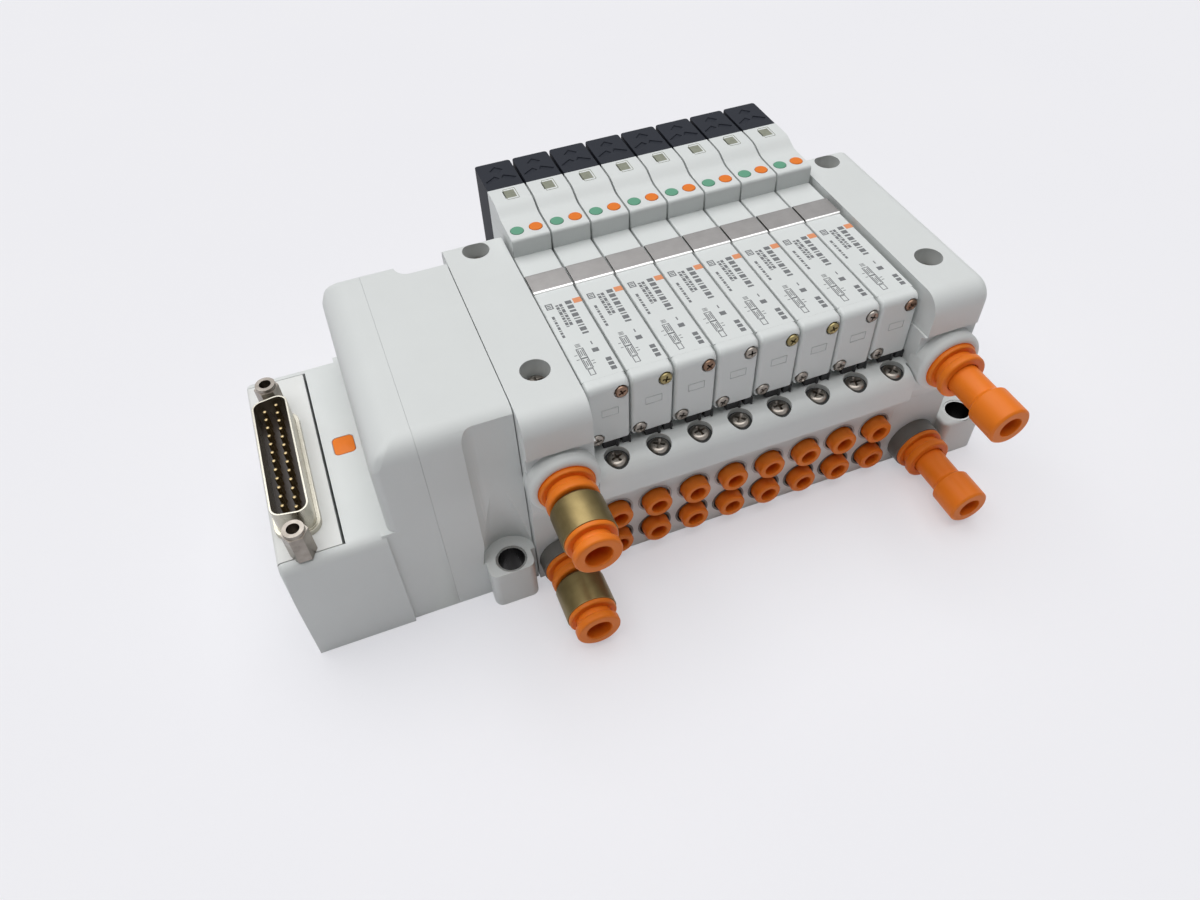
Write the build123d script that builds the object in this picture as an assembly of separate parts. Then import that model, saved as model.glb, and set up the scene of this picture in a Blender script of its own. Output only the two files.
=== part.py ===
from build123d import *
import math
import os

# Plug-in valve island: eight slim valves in a row on one manifold, between two end blocks,
# with a junction block and a 25-way connector housing on the left.
# All lengths are millimetres. +X runs along the row, +Y to the rear and +Z up.
# Depths (Y) are counted from the front row of mounting holes. The finished pieces are
# moved so that the origin is the centre of the four mounting holes on the underside.

# Row of valves
STATIONS = 8
PITCH = 10.5
VALVE_GAP = 0.5

# Lengths along the row
END_BLOCK_LENGTH = 16.0
FOOT_LENGTH = 12.1
JUNCTION_LENGTH = 21.2
STEP_LENGTH = 11.5
HOUSING_LENGTH = 23.7
NOTCH_LENGTH = 12.4

# Depths of the bodies
BODY_BACK = 63.5
PORT_FACE = 0.2
LIP_FACE = -4.0
JUNCTION_FACE = 0.0
NOTCH_FACE = 2.6
BLOCK_FACE = -3.0
BLOCK_LOWER_FACE = -1.4

# Heights and edges of the bodies
BLOCK_HEIGHT = 60.0
BLOCK_CAP_HEIGHT = 11.0
BLOCK_CAP_SLOPE = 1.0
BLOCK_SIDE_RELIEF = 0.5
BLOCK_FRONT_RADIUS = 5.0
BLOCK_EDGE_RADIUS = 4.0
OUTER_EDGE_RADIUS = 2.4
BACK_EDGE_RADIUS = 2.5
LEDGE_HEIGHT = 38.2
LIP_RADIUS = 4.0
LIP_DEPTH = 5.4
LIP_LOW_RADIUS = 1.5
SLOPE_DROP = 4.6
SLOPE_RADIUS = 3.0
RAIL_HEIGHT = 2.5
HOUSING_HEIGHT = 35.0
STEP_LEAN = 1.2
STEP_RADIUS = 5.0
HOUSING_EDGE_RADIUS = 1.3
FLOOR_EDGE_RADIUS = 0.4

# Mounting feet and their steel bushes
FOOT_HOLE_INSET = 1.5
FOOT_HOLE_OFFSET = 6.5
FOOT_HEIGHT = 12.6
FOOT_REACH = 4.0
FOOT_DEPTH = 13.0
FOOT_CORNER_RADIUS = 2.0
FOOT_EDGE_RADIUS = 1.0
FOOT_INSET = 2.0
BUSH_BORE = 2.75
BUSH_WALL = 1.1
BUSH_SINK = 0.4

# Small tube ports
PORT_ROW_LOW = 7.06
PORT_ROW_PITCH = 10.44
CARTRIDGE_RADIUS = 4.6
CARTRIDGE_DEPTH = 12.0
CARTRIDGE_LIP = 0.55
CARTRIDGE_PROUD = 0.1
COLLAR_RADIUS = 3.6
COLLAR_HEAD = 3.3
COLLAR_EDGE = 0.5
COLLAR_SLEEVE_RADIUS = 2.9
COLLAR_SLEEVE_LENGTH = 5.6
COLLAR_TRAVEL = 0.9
TUBE_RADIUS = 2.0
TUBE_LEAD = 0.3

# Large supply and exhaust ports
BIG_OFFSET = 8.2
BIG_LOW_OFFSET = 8.7
BIG_DROP = 20.7
BOSS_RADIUS = 8.6
BOSS_LENGTH = 3.9
BOSS_EDGE_RADIUS = 1.5
SLEEVE_RADIUS = 6.85
SLEEVE_LENGTH = 4.0
BIG_CARTRIDGE_DEPTH = 16.0
GUIDE_RADIUS = 6.55
GUIDE_HEAD = 1.2
GUIDE_DEPTH = 2.4
GUIDE_EDGE = 0.4
GUIDE_WALL = 0.4
BIG_NECK_RADIUS = 5.2
BIG_NECK_LENGTH = 6.0
BIG_FLANGE_RADIUS = 6.2
BIG_FLANGE = 2.1
BIG_TRAVEL = 1.5
FLANGE_EDGE = 0.6
FLANGE_BACK_EDGE = 0.3
BORE_LEAD = 0.4
STEM_RADIUS = 4.0
STEM_INSERT = 10.0

# Plugs and adaptors in the large ports
PLUG_STEM = 8.2
PLUG_KNOB = 9.5
PLUG_KNOB_RADIUS = 5.2
PLUG_SHOULDER = 1.2
PLUG_EDGE = 0.5
PLUG_HOLE_RADIUS = 2.8
PLUG_HOLE_DEPTH = 7.5
ADAPTOR_NECK = 1.0
ADAPTOR_BODY = 8.8
ADAPTOR_RADIUS = 6.25
ADAPTOR_BEVEL = 0.9
ADAPTOR_SHOULDER = 1.4
ADAPTOR_COLLAR_SPACE = 7.4
FAR_GUIDE_RADIUS = 6.0
FAR_GUIDE_WALL = 0.5
FAR_NECK_RADIUS = 4.5
FAR_FLANGE_RADIUS = 5.5
FAR_TUBE_RADIUS = 3.05
FAR_TUBE_STOP = 0.4

# Valves
VALVE_FACE = 2.6
COVER_THICK = 3.1
VALVE_TOP = 58.5
VALVE_EDGE_RADIUS = 0.35
COVER_EDGE_RADIUS = 1.8
COVER_SIDE_RADIUS = 0.8
COVER_FOOT_RADIUS = 0.5
PLATE_FRONT = 38.1
PLATE_LENGTH = 7.4
PLATE_THICK = 0.6
PLATE_PROUD = 0.15
PLATE_EDGE_RADIUS = 0.48

# Pilot units behind the valves
PILOT_FRONT = 54.0
PILOT_LOW_LENGTH = 8.0
PILOT_SLOPE_LENGTH = 7.0
PILOT_LENGTH = 20.5
PILOT_LOW_RISE = 5.0
PILOT_HIGH_RISE = 7.0
PILOT_NOSE_RADIUS = 0.9
BUTTON_RADIUS = 1.7
BUTTON_HEIGHT = 2.9
BUTTON_PROUD = 0.15
BUTTON_EDGE = 0.15
BUTTON_OFFSET = 2.45
BUTTON_DEPTH = 3.8
BUTTON_TRAVEL = 1.0
WINDOW_WIDTH = 3.0
WINDOW_LENGTH = 3.4
WINDOW_THICK = 1.0
WINDOW_BACK = 1.6
WINDOW_PROUD = 0.1
WINDOW_FRAME = 0.7
WINDOW_DISH = 0.3

# Dark caps at the rear
CAP_LENGTH = 12.8
CAP_BOTTOM = 42.0
CAP_SIDE_GAP = 0.1
CAP_CORNER_RADIUS = 0.8
CAP_EDGE = 0.3
CAP_RELIEF = 0.35
CAP_SLOT_LENGTH = 3.6
CAP_SLOT_WIDTH = 1.1
CAP_SLOT_OFFSET = 2.0
CAP_SLOT_FRONT = 4.4
CAP_SLOT_BACK = 8.8
CAP_SLOT_TURN = 35

# Screws
HEAD_HEIGHT = 1.5
HEAD_EDGE_SHARE = 0.45
HEAD_TOP_SHARE = 0.72
SHANK_SHARE = 0.5
COVER_SCREW_HEAD = 1.65
COVER_SCREW_SHANK = 6.0
COVER_SCREW_ROOM = 0.15
COVER_SCREW_OFFSET = 3.05
COVER_SCREW_TOP_DROP = 2.8
COVER_SCREW_LOW_RISE = 1.7
COVER_SCREW_PROUD = 0.75
LEDGE_SCREW_HEAD = 2.7
LEDGE_SCREW_SHANK = 7.0
LEDGE_SCREW_ROOM = 0.3
LEDGE_SCREW_SHIFT = 0.56
LEDGE_SCREW_SINK = 0.1
BLOCK_SCREW_HEAD = 3.0
BLOCK_SCREW_SHANK = 4.5
BLOCK_SCREW_ROOM = 0.4
BLOCK_SCREW_FRONT = 12.1
BLOCK_SCREW_BACK = 59.0
BLOCK_SCREW_DEPTH = 8.0

# Connector
CONNECTOR_X_INSET = 6.2
CONNECTOR_DEPTH = 26.9
PANEL_INSET = 0.9
PANEL_LENGTH = 13.5
PANEL_FRONT = 1.6
PANEL_BACK = 60.4
PANEL_THICK = 1.6
PANEL_SINK = 0.2
PANEL_EDGE_RADIUS = 0.25
JACK_SPACING = 47.04
JACK_HEIGHT = 8.7
JACK_RADIUS = 2.55
JACK_TIP = 1.0
JACK_TIP_EDGE = 0.15
JACK_THREAD_RADIUS = 1.42
JACK_THREAD_DEPTH = 5.0
SHELL_LENGTH = 39.0
SHELL_WIDTH = 8.4
SHELL_HEIGHT = 8.2
SHELL_WALL = 0.5
SHELL_ANGLE = 10.0
SHELL_CORNER = 2.6
SHELL_FLARE = 0.9
SHELL_FLARE_HEIGHT = 1.5
PIN_PITCH = 2.77
PIN_ROW_GAP = 2.84
PIN_RADIUS = 0.5
PIN_SHORT = 0.6
PIN_TIP = 0.2
PIN_COUNT = 25
INSULATOR_HEIGHT = 2.4
MARKER_LENGTH = 5.3
MARKER_WIDTH = 6.0
MARKER_SINK = 0.3
MARKER_RADIUS = 1.2
MARKER_DEPTH = 31.4
MARKER_FROM_STEP = 3.7

# Clearances, and how far a cutter runs past the surface it cuts
SEAT_GAP = 0.02
RUN_GAP = 0.06
FREE_GAP = 0.3
OVER = 1.0

# Worked out from the sizes above
ROW_HALF = STATIONS * PITCH / 2
VALVE_WIDTH = PITCH - VALVE_GAP
BLOCK_OUT = ROW_HALF + END_BLOCK_LENGTH
RIGHT_END = BLOCK_OUT + FOOT_LENGTH
SEAM_X = -(BLOCK_OUT + JUNCTION_LENGTH)
STEP_X = SEAM_X - STEP_LENGTH
LEFT_END = STEP_X - HOUSING_LENGTH
FOOT_X = BLOCK_OUT + FOOT_HOLE_OFFSET
FOOT_SPAN_Y = BODY_BACK - FOOT_HOLE_INSET
LIP_BOTTOM = LEDGE_HEIGHT - LIP_RADIUS - LIP_DEPTH
BLOCK_CAP_BOTTOM = BLOCK_HEIGHT - BLOCK_CAP_HEIGHT
VALVE_BOTTOM = LEDGE_HEIGHT + RAIL_HEIGHT
COVER_BACK = VALVE_FACE + COVER_THICK
CAP_FRONT = PILOT_FRONT + PILOT_LENGTH
PILOT_LOW_TOP = VALVE_TOP + PILOT_LOW_RISE
PILOT_HIGH_TOP = VALVE_TOP + PILOT_HIGH_RISE
WINDOW_FRONT = CAP_FRONT - WINDOW_BACK - WINDOW_LENGTH
PORT_ROW_HIGH = PORT_ROW_LOW + PORT_ROW_PITCH
CARTRIDGE_FACE = PORT_FACE - CARTRIDGE_PROUD
CARTRIDGE_END = PORT_FACE + CARTRIDGE_DEPTH
BIG_X = ROW_HALF + BIG_OFFSET
BIG_HIGH = BLOCK_HEIGHT - BIG_DROP
BIG_LOW_X = ROW_HALF + BIG_LOW_OFFSET
BOSS_FACE = BLOCK_LOWER_FACE - BOSS_LENGTH
SLEEVE_FACE = PORT_FACE - SLEEVE_LENGTH
COLLAR_SPACE = GUIDE_HEAD + BIG_TRAVEL + FREE_GAP
BIG_REACH = COLLAR_SPACE + BIG_FLANGE
CONNECTOR_X = LEFT_END + CONNECTOR_X_INSET
PANEL_TOP = HOUSING_HEIGHT - PANEL_SINK
BLOCK_SCREW_X = ROW_HALF + END_BLOCK_LENGTH / 2


def station_x(index):
    """Middle of one valve along the row."""
    return -ROW_HALF + PITCH * (index + 0.5)


def box(x0, x1, y0, y1, z0, z1):
    """Box between two corners."""
    middle = ((x0 + x1) / 2, (y0 + y1) / 2, (z0 + z1) / 2)
    return Pos(*middle) * Box(x1 - x0, y1 - y0, z1 - z0)


def rod_y(radius, x, z, y0, y1):
    """Cylinder along Y between two depths."""
    lying = Rot(90, 0, 0) * Cylinder(radius, y1 - y0)
    return Pos(x, (y0 + y1) / 2, z) * lying


def rod_z(radius, x, y, z0, z1):
    """Upright cylinder between two heights."""
    return Pos(x, y, (z0 + z1) / 2) * Cylinder(radius, z1 - z0)


def turned(points, x, z):
    """Piece turned about an axis along Y. Points are (radius, depth)."""
    outline = Polyline(*points, close=True)
    return Pos(x, 0, z) * revolve(make_face(outline), Axis.Y)


def rounded_face(points, radii):
    """Outline of straight runs, filled. A radius of 0 keeps a corner sharp."""
    face = make_face(Polyline(*points, close=True))
    for point, radius in zip(points, radii):
        if radius:
            corner = face.vertices().sort_by_distance((point[0], point[1], 0))[0]
            face = fillet(corner, radius)
    return face


def run_along_x(face, x0, x1):
    """Side view, drawn as (depth, height), run from x0 to x1."""
    return Pos(x0, 0, 0) * extrude(Plane.YZ * face, x1 - x0)


def run_along_y(face, y0, y1):
    """Front view, drawn as (x, height), run from y0 to y1."""
    plane = Plane(origin=(0, 0, 0), x_dir=(1, 0, 0), z_dir=(0, -1, 0))
    return Pos(0, y1, 0) * extrude(plane * face, y1 - y0)


def edges_at(part, axis, x=None, y=None, z=None, slack=0.01):
    """Straight edges along an axis whose middle lies at the given coordinates."""
    found = part.edges().filter_by(axis)
    if x is not None:
        found = found.filter_by(lambda edge: abs(edge.center().X - x) < slack)
    if y is not None:
        found = found.filter_by(lambda edge: abs(edge.center().Y - y) < slack)
    if z is not None:
        found = found.filter_by(lambda edge: abs(edge.center().Z - z) < slack)
    return found


def write_node(name, pieces):
    """Move the pieces to the part's origin and write them as one STEP file."""
    shift = Pos(0, -FOOT_SPAN_Y / 2, 0)
    solids = [solid for piece in pieces for solid in (shift * piece).solids()]
    shape = solids[0] if len(solids) == 1 else Compound(children=solids)
    export_step(shape, f"parts/{name}.step")


# Screws

def screw(head, shank_length):
    """Pan head screw standing on its seat, shank down."""
    shank = head * SHANK_SHARE
    points = [(0, -shank_length), (shank, -shank_length), (shank, 0), (head, 0),
              (head, HEAD_HEIGHT * HEAD_EDGE_SHARE), (head * HEAD_TOP_SHARE, HEAD_HEIGHT), (0, HEAD_HEIGHT)]
    outline = Polyline(*[(r, 0, z) for r, z in points], close=True)
    return revolve(make_face(outline), Axis.Z)


def screw_hole(head, shank_length, room, depth):
    """Cutter for one screw: a pocket above its seat and a clearance hole below."""
    shank = head * SHANK_SHARE + SEAT_GAP
    pocket = rod_z(head + room, 0, 0, 0, depth)
    return pocket + rod_z(shank, 0, 0, -shank_length - FREE_GAP, depth)


def cover_screw_places(index):
    """Seats of the two screws that hold one front cover: top right and bottom left."""
    seat = VALVE_FACE + HEAD_HEIGHT - COVER_SCREW_PROUD
    x = station_x(index)
    upper = Pos(x + COVER_SCREW_OFFSET, seat, VALVE_TOP - COVER_SCREW_TOP_DROP)
    lower = Pos(x - COVER_SCREW_OFFSET, seat, VALVE_BOTTOM + COVER_SCREW_LOW_RISE)
    return [upper * Rot(90, 0, 0), lower * Rot(90, 0, 0)]


def ledge_screw_place(index):
    """Seat of one screw in the row on the ledge."""
    return Pos(station_x(index) + LEDGE_SCREW_SHIFT, 0, LEDGE_HEIGHT - HEAD_HEIGHT - LEDGE_SCREW_SINK)


def block_screw_places(side):
    """Seats of the two deep screws in one end block."""
    z = BLOCK_HEIGHT - BLOCK_SCREW_DEPTH
    return [Pos(side * BLOCK_SCREW_X, y, z) for y in (BLOCK_SCREW_FRONT, BLOCK_SCREW_BACK)]


def machine_screws():
    """Cover screws, the row on the ledge and the deep ones in the end blocks."""
    small = screw(COVER_SCREW_HEAD, COVER_SCREW_SHANK)
    ledge = screw(LEDGE_SCREW_HEAD, LEDGE_SCREW_SHANK)
    deep = screw(BLOCK_SCREW_HEAD, BLOCK_SCREW_SHANK)
    pieces = []
    for index in range(STATIONS):
        pieces += [place * small for place in cover_screw_places(index)]
        pieces.append(ledge_screw_place(index) * ledge)
    for side in (-1, 1):
        pieces += [place * deep for place in block_screw_places(side)]
    return pieces


# Mounting feet

def foot_y(side):
    """Depth of the front (-1) or rear (1) row of mounting holes."""
    return FOOT_SPAN_Y * (side + 1) / 2


def foot(x0, x1, side):
    """Low lug with rounded corners, in front (-1) or at the rear (1)."""
    reach = foot_y(side) + side * FOOT_REACH
    root = reach - side * FOOT_DEPTH
    lug = box(x0, x1, min(reach, root), max(reach, root), 0, FOOT_HEIGHT)
    lug = fillet(edges_at(lug, Axis.Z, y=reach), FOOT_CORNER_RADIUS)
    return fillet(edges_at(lug, Axis.X, y=reach, z=FOOT_HEIGHT), FOOT_EDGE_RADIUS)


def with_feet(block, x0, x1, hole_x):
    """Block with a foot in front and one at the rear, each with room for a bush."""
    room = BUSH_BORE + BUSH_WALL + SEAT_GAP
    for side in (-1, 1):
        block = block + foot(x0, x1, side)
        block = block - rod_z(room, hole_x, foot_y(side), -OVER, FOOT_HEIGHT + OVER)
    return block


def bushes():
    """Four steel bushes pressed into the feet."""
    pieces = []
    for x in (-FOOT_X, FOOT_X):
        for side in (-1, 1):
            tube = rod_z(BUSH_BORE + BUSH_WALL, x, foot_y(side), 0, FOOT_HEIGHT - BUSH_SINK)
            pieces.append(tube - rod_z(BUSH_BORE, x, foot_y(side), -OVER, FOOT_HEIGHT))
    return pieces


# Manifold and blocks

def manifold_solid():
    """Whole manifold under all valves, with a rounded lip over the two rows of ports."""
    points = [
        (PORT_FACE, 0),
        (PORT_FACE, LIP_BOTTOM - SLOPE_DROP),
        (LIP_FACE, LIP_BOTTOM),
        (LIP_FACE, LEDGE_HEIGHT),
        (COVER_BACK, LEDGE_HEIGHT),
        (COVER_BACK, VALVE_BOTTOM),
        (BODY_BACK, VALVE_BOTTOM),
        (BODY_BACK, 0),
    ]
    radii = [FLOOR_EDGE_RADIUS, SLOPE_RADIUS, LIP_LOW_RADIUS, LIP_RADIUS, 0, 0, 0, FLOOR_EDGE_RADIUS]
    return run_along_x(rounded_face(points, radii), -ROW_HALF, ROW_HALF)


def half_space(y0, y1):
    """Box over the whole manifold between two depths."""
    return box(-ROW_HALF - OVER, ROW_HALF + OVER, y0, y1, -OVER, VALVE_BOTTOM + OVER)


def manifold_base():
    """Two mouldings: a port strip that the fittings go right through, and the base behind it."""
    solid = manifold_solid()
    base = solid & half_space(CARTRIDGE_END + SEAT_GAP, BODY_BACK + OVER)
    strip = solid & half_space(LIP_FACE - OVER, CARTRIDGE_END)
    hole = screw_hole(LEDGE_SCREW_HEAD, LEDGE_SCREW_SHANK, LEDGE_SCREW_ROOM, HEAD_HEIGHT + OVER)
    room = CARTRIDGE_RADIUS + SEAT_GAP
    for index in range(STATIONS):
        for z in (PORT_ROW_LOW, PORT_ROW_HIGH):
            strip = strip - rod_y(room, station_x(index), z, LIP_FACE, CARTRIDGE_END + OVER)
        strip = strip - ledge_screw_place(index) * hole
    for side in (-1, 1):
        clear = rod_y(BOSS_RADIUS + FREE_GAP, side * BIG_X, BIG_HIGH, LIP_FACE - OVER, PORT_FACE + FREE_GAP)
        strip = strip - clear
    return [strip, base]


def end_block_profile():
    """Side view of an end block: a rounded cap above a face that is set back."""
    points = [
        (PORT_FACE, 0),
        (PORT_FACE, LIP_BOTTOM - SLOPE_DROP),
        (BLOCK_LOWER_FACE, LIP_BOTTOM),
        (BLOCK_LOWER_FACE, BLOCK_CAP_BOTTOM - BLOCK_CAP_SLOPE),
        (BLOCK_FACE, BLOCK_CAP_BOTTOM),
        (BLOCK_FACE, BLOCK_HEIGHT),
        (BODY_BACK, BLOCK_HEIGHT),
        (BODY_BACK, 0),
    ]
    radii = [0, SLOPE_RADIUS, LIP_LOW_RADIUS, 0, 0, BLOCK_FRONT_RADIUS, BACK_EDGE_RADIUS, 0]
    return rounded_face(points, radii)


def end_block(side):
    """End block with two deep screw holes, a round boss above and a plain port below."""
    inner = side * (ROW_HALF + SEAT_GAP)
    outer = side * (BLOCK_OUT - SEAT_GAP)
    block = run_along_x(end_block_profile(), min(inner, outer), max(inner, outer))
    if side > 0:
        block = fillet(edges_at(block, Axis.Y, x=outer, z=BLOCK_HEIGHT), OUTER_EDGE_RADIUS)
    relief = inner + side * BLOCK_SIDE_RELIEF
    block = block - box(min(inner, relief), max(inner, relief), BLOCK_FACE - OVER, BODY_BACK + OVER,
                        BLOCK_CAP_BOTTOM, BLOCK_HEIGHT + OVER)
    boss = rod_y(BOSS_RADIUS, side * BIG_X, BIG_HIGH, BOSS_FACE, PORT_FACE)
    rim = boss.edges().filter_by(GeomType.CIRCLE).sort_by(Axis.Y)[0]
    block = block + fillet(rim, BOSS_EDGE_RADIUS)
    for x, z in ((BIG_X, BIG_HIGH), (BIG_LOW_X, PORT_ROW_LOW)):
        block = block - rod_y(SLEEVE_RADIUS + SEAT_GAP, side * x, z, BOSS_FACE - OVER, BIG_CARTRIDGE_DEPTH)
    hole = screw_hole(BLOCK_SCREW_HEAD, BLOCK_SCREW_SHANK, BLOCK_SCREW_ROOM, BLOCK_SCREW_DEPTH + OVER)
    for place in block_screw_places(side):
        block = block - place * hole
    return block


def right_end_block():
    """The right block also closes the row and carries two feet."""
    return with_feet(end_block(1), BLOCK_OUT - SEAT_GAP, RIGHT_END, FOOT_X)


def junction_block():
    """Block between the connector housing and the left end block, with two feet."""
    right = -BLOCK_OUT
    points = [
        (JUNCTION_FACE, 0),
        (JUNCTION_FACE, BLOCK_HEIGHT),
        (BODY_BACK, BLOCK_HEIGHT),
        (BODY_BACK, 0),
    ]
    radii = [FLOOR_EDGE_RADIUS, BLOCK_EDGE_RADIUS, BACK_EDGE_RADIUS, FLOOR_EDGE_RADIUS]
    block = run_along_x(rounded_face(points, radii), SEAM_X + SEAT_GAP, right - SEAT_GAP)
    block = block - box(right - NOTCH_LENGTH, right + OVER, JUNCTION_FACE - OVER, NOTCH_FACE,
                        FOOT_HEIGHT, BLOCK_HEIGHT + OVER)
    return with_feet(block, -RIGHT_END, right - FOOT_INSET, -FOOT_X)


def connector_housing():
    """Low box for the connector with a tall step that meets the junction block."""
    seam = SEAM_X - SEAT_GAP
    points = [
        (LEFT_END, 0),
        (LEFT_END, HOUSING_HEIGHT),
        (STEP_X, HOUSING_HEIGHT),
        (STEP_X + STEP_LEAN, BLOCK_HEIGHT),
        (seam, BLOCK_HEIGHT),
        (seam, 0),
    ]
    radii = [FLOOR_EDGE_RADIUS, HOUSING_EDGE_RADIUS, HOUSING_EDGE_RADIUS, STEP_RADIUS, 0, FLOOR_EDGE_RADIUS]
    housing = run_along_y(rounded_face(points, radii), JUNCTION_FACE, BODY_BACK)
    housing = fillet(edges_at(housing, Axis.X, y=JUNCTION_FACE, z=BLOCK_HEIGHT), BLOCK_EDGE_RADIUS)
    panel_x = LEFT_END + PANEL_INSET
    pocket = box(panel_x - FREE_GAP, panel_x + PANEL_LENGTH + FREE_GAP, PANEL_FRONT - FREE_GAP,
                 PANEL_BACK + FREE_GAP, PANEL_TOP - PANEL_THICK, HOUSING_HEIGHT + OVER)
    marker_x = STEP_X - MARKER_FROM_STEP
    marker = box(marker_x - MARKER_LENGTH / 2, marker_x + MARKER_LENGTH / 2,
                 MARKER_DEPTH - MARKER_WIDTH / 2, MARKER_DEPTH + MARKER_WIDTH / 2,
                 HOUSING_HEIGHT - MARKER_SINK, HOUSING_HEIGHT + OVER)
    marker = fillet(marker.edges().filter_by(Axis.Z), MARKER_RADIUS)
    return housing - pocket - marker


# Connector

def dee_face(length, width, corner):
    """Outline of a D-shaped connector: long side towards +X, ends sloping by SHELL_ANGLE."""
    slope = width * math.tan(math.radians(SHELL_ANGLE))
    half = length / 2
    points = [(width / 2, -half), (width / 2, half), (-width / 2, half - slope), (-width / 2, slope - half)]
    face = make_face(Polyline(*points, close=True))
    return fillet(face.vertices(), corner)


def dee(grow, z0, z1):
    """Upright D-shaped piece at the connector's place, larger than the shell by grow all round."""
    face = dee_face(SHELL_LENGTH + grow * 2, SHELL_WIDTH + grow * 2, SHELL_CORNER + grow)
    return Pos(CONNECTOR_X, CONNECTOR_DEPTH, z0) * extrude(face, z1 - z0)


def connector_panel():
    """Pale plate let into the housing, which carries the connector."""
    x0 = LEFT_END + PANEL_INSET
    panel = box(x0, x0 + PANEL_LENGTH, PANEL_FRONT, PANEL_BACK, PANEL_TOP - PANEL_THICK, PANEL_TOP)
    return fillet(panel.edges().group_by(Axis.Z)[-1], PANEL_EDGE_RADIUS)


def dsub_shell():
    """Nickel-plated shell: a thin D-shaped wall on a flared foot."""
    top = PANEL_TOP + SHELL_HEIGHT
    wall = dee(0, PANEL_TOP, top)
    flare = dee(SHELL_FLARE, PANEL_TOP, PANEL_TOP + SHELL_FLARE_HEIGHT)
    return wall + flare - dee(-SHELL_WALL, PANEL_TOP - OVER, top + OVER)


def pin_places():
    """Contacts in two rows: the longer row is on the +X side, the other one between."""
    places = []
    for side, count in ((1, PIN_COUNT - PIN_COUNT // 2), (-1, PIN_COUNT // 2)):
        for index in range(count):
            y = CONNECTOR_DEPTH + (index - (count - 1) / 2) * PIN_PITCH
            places.append((CONNECTOR_X + side * PIN_ROW_GAP / 2, y))
    return places


def dsub_insulator():
    """Dark moulding that fills the foot of the shell and holds the contacts."""
    top = PANEL_TOP + INSULATOR_HEIGHT
    block = dee(-SHELL_WALL - SEAT_GAP, PANEL_TOP, top)
    for x, y in pin_places():
        block = block - rod_z(PIN_RADIUS + SEAT_GAP, x, y, PANEL_TOP - OVER, top + OVER)
    return block


def contact_pins():
    """Gold-plated round contacts with a chamfered tip."""
    pins = []
    for x, y in pin_places():
        pin = rod_z(PIN_RADIUS, x, y, PANEL_TOP, PANEL_TOP + SHELL_HEIGHT - PIN_SHORT)
        pins.append(chamfer(pin.edges().filter_by(GeomType.CIRCLE).sort_by(Axis.Z)[-1], PIN_TIP))
    return pins


def jackscrews():
    """Two hexagonal standoffs with a round top and a thread for the plug's screws."""
    top = PANEL_TOP + JACK_HEIGHT
    pieces = []
    for side in (-1, 1):
        y = CONNECTOR_DEPTH + side * JACK_SPACING / 2
        hexagon = extrude(RegularPolygon(JACK_RADIUS, 6, major_radius=False), JACK_HEIGHT - JACK_TIP)
        post = Pos(CONNECTOR_X, y, PANEL_TOP) * hexagon
        post = post + rod_z(JACK_RADIUS - JACK_TIP_EDGE, CONNECTOR_X, y, PANEL_TOP, top)
        post = post - rod_z(JACK_THREAD_RADIUS, CONNECTOR_X, y, top - JACK_THREAD_DEPTH, top + OVER)
        pieces.append(post)
    return pieces


# Valves

def cover_screw_cuts(index):
    """Head pockets and clearance holes for one front cover's screws."""
    cut = screw_hole(COVER_SCREW_HEAD, COVER_SCREW_SHANK, COVER_SCREW_ROOM, HEAD_HEIGHT + OVER)
    return [place * cut for place in cover_screw_places(index)]


def valve_body(index):
    """Main moulding of one valve, with a shallow bed for the steel strip."""
    x = station_x(index)
    half = VALVE_WIDTH / 2
    body = box(x - half, x + half, COVER_BACK, CAP_FRONT - SEAT_GAP, VALVE_BOTTOM, VALVE_TOP)
    body = fillet(body.edges().group_by(Axis.Z)[-1].filter_by(Axis.Y), VALVE_EDGE_RADIUS)
    bed = box(x - half - OVER, x + half + OVER, PLATE_FRONT - SEAT_GAP,
              PLATE_FRONT + PLATE_LENGTH + SEAT_GAP, VALVE_TOP + PLATE_PROUD - PLATE_THICK, VALVE_TOP + OVER)
    body = body - bed
    for cut in cover_screw_cuts(index):
        body = body - cut
    return body


def valve_cover(index):
    """Front cover of one valve, with a well rounded top edge."""
    x = station_x(index)
    half = VALVE_WIDTH / 2
    back = COVER_BACK - SEAT_GAP
    points = [(VALVE_FACE, VALVE_BOTTOM), (VALVE_FACE, VALVE_TOP), (back, VALVE_TOP), (back, VALVE_BOTTOM)]
    profile = rounded_face(points, [COVER_FOOT_RADIUS, COVER_EDGE_RADIUS, 0, 0])
    cover = run_along_x(profile, x - half, x + half)
    cover = fillet(edges_at(cover, Axis.Z, y=VALVE_FACE), COVER_SIDE_RADIUS)
    for cut in cover_screw_cuts(index):
        cover = cover - cut
    return cover


def retainer_plate(index):
    """Stainless strip across one valve, with its front edge rolled down."""
    x = station_x(index)
    half = VALVE_WIDTH / 2
    top = VALVE_TOP + PLATE_PROUD
    plate = box(x - half, x + half, PLATE_FRONT, PLATE_FRONT + PLATE_LENGTH, top - PLATE_THICK, top)
    return fillet(edges_at(plate, Axis.X, y=PLATE_FRONT, z=top), PLATE_EDGE_RADIUS)


# Pilot units

def button_places(index):
    """Left and right manual override of one valve."""
    x = station_x(index)
    y = PILOT_FRONT + BUTTON_DEPTH
    return [(x - BUTTON_OFFSET, y), (x + BUTTON_OFFSET, y)]


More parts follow.
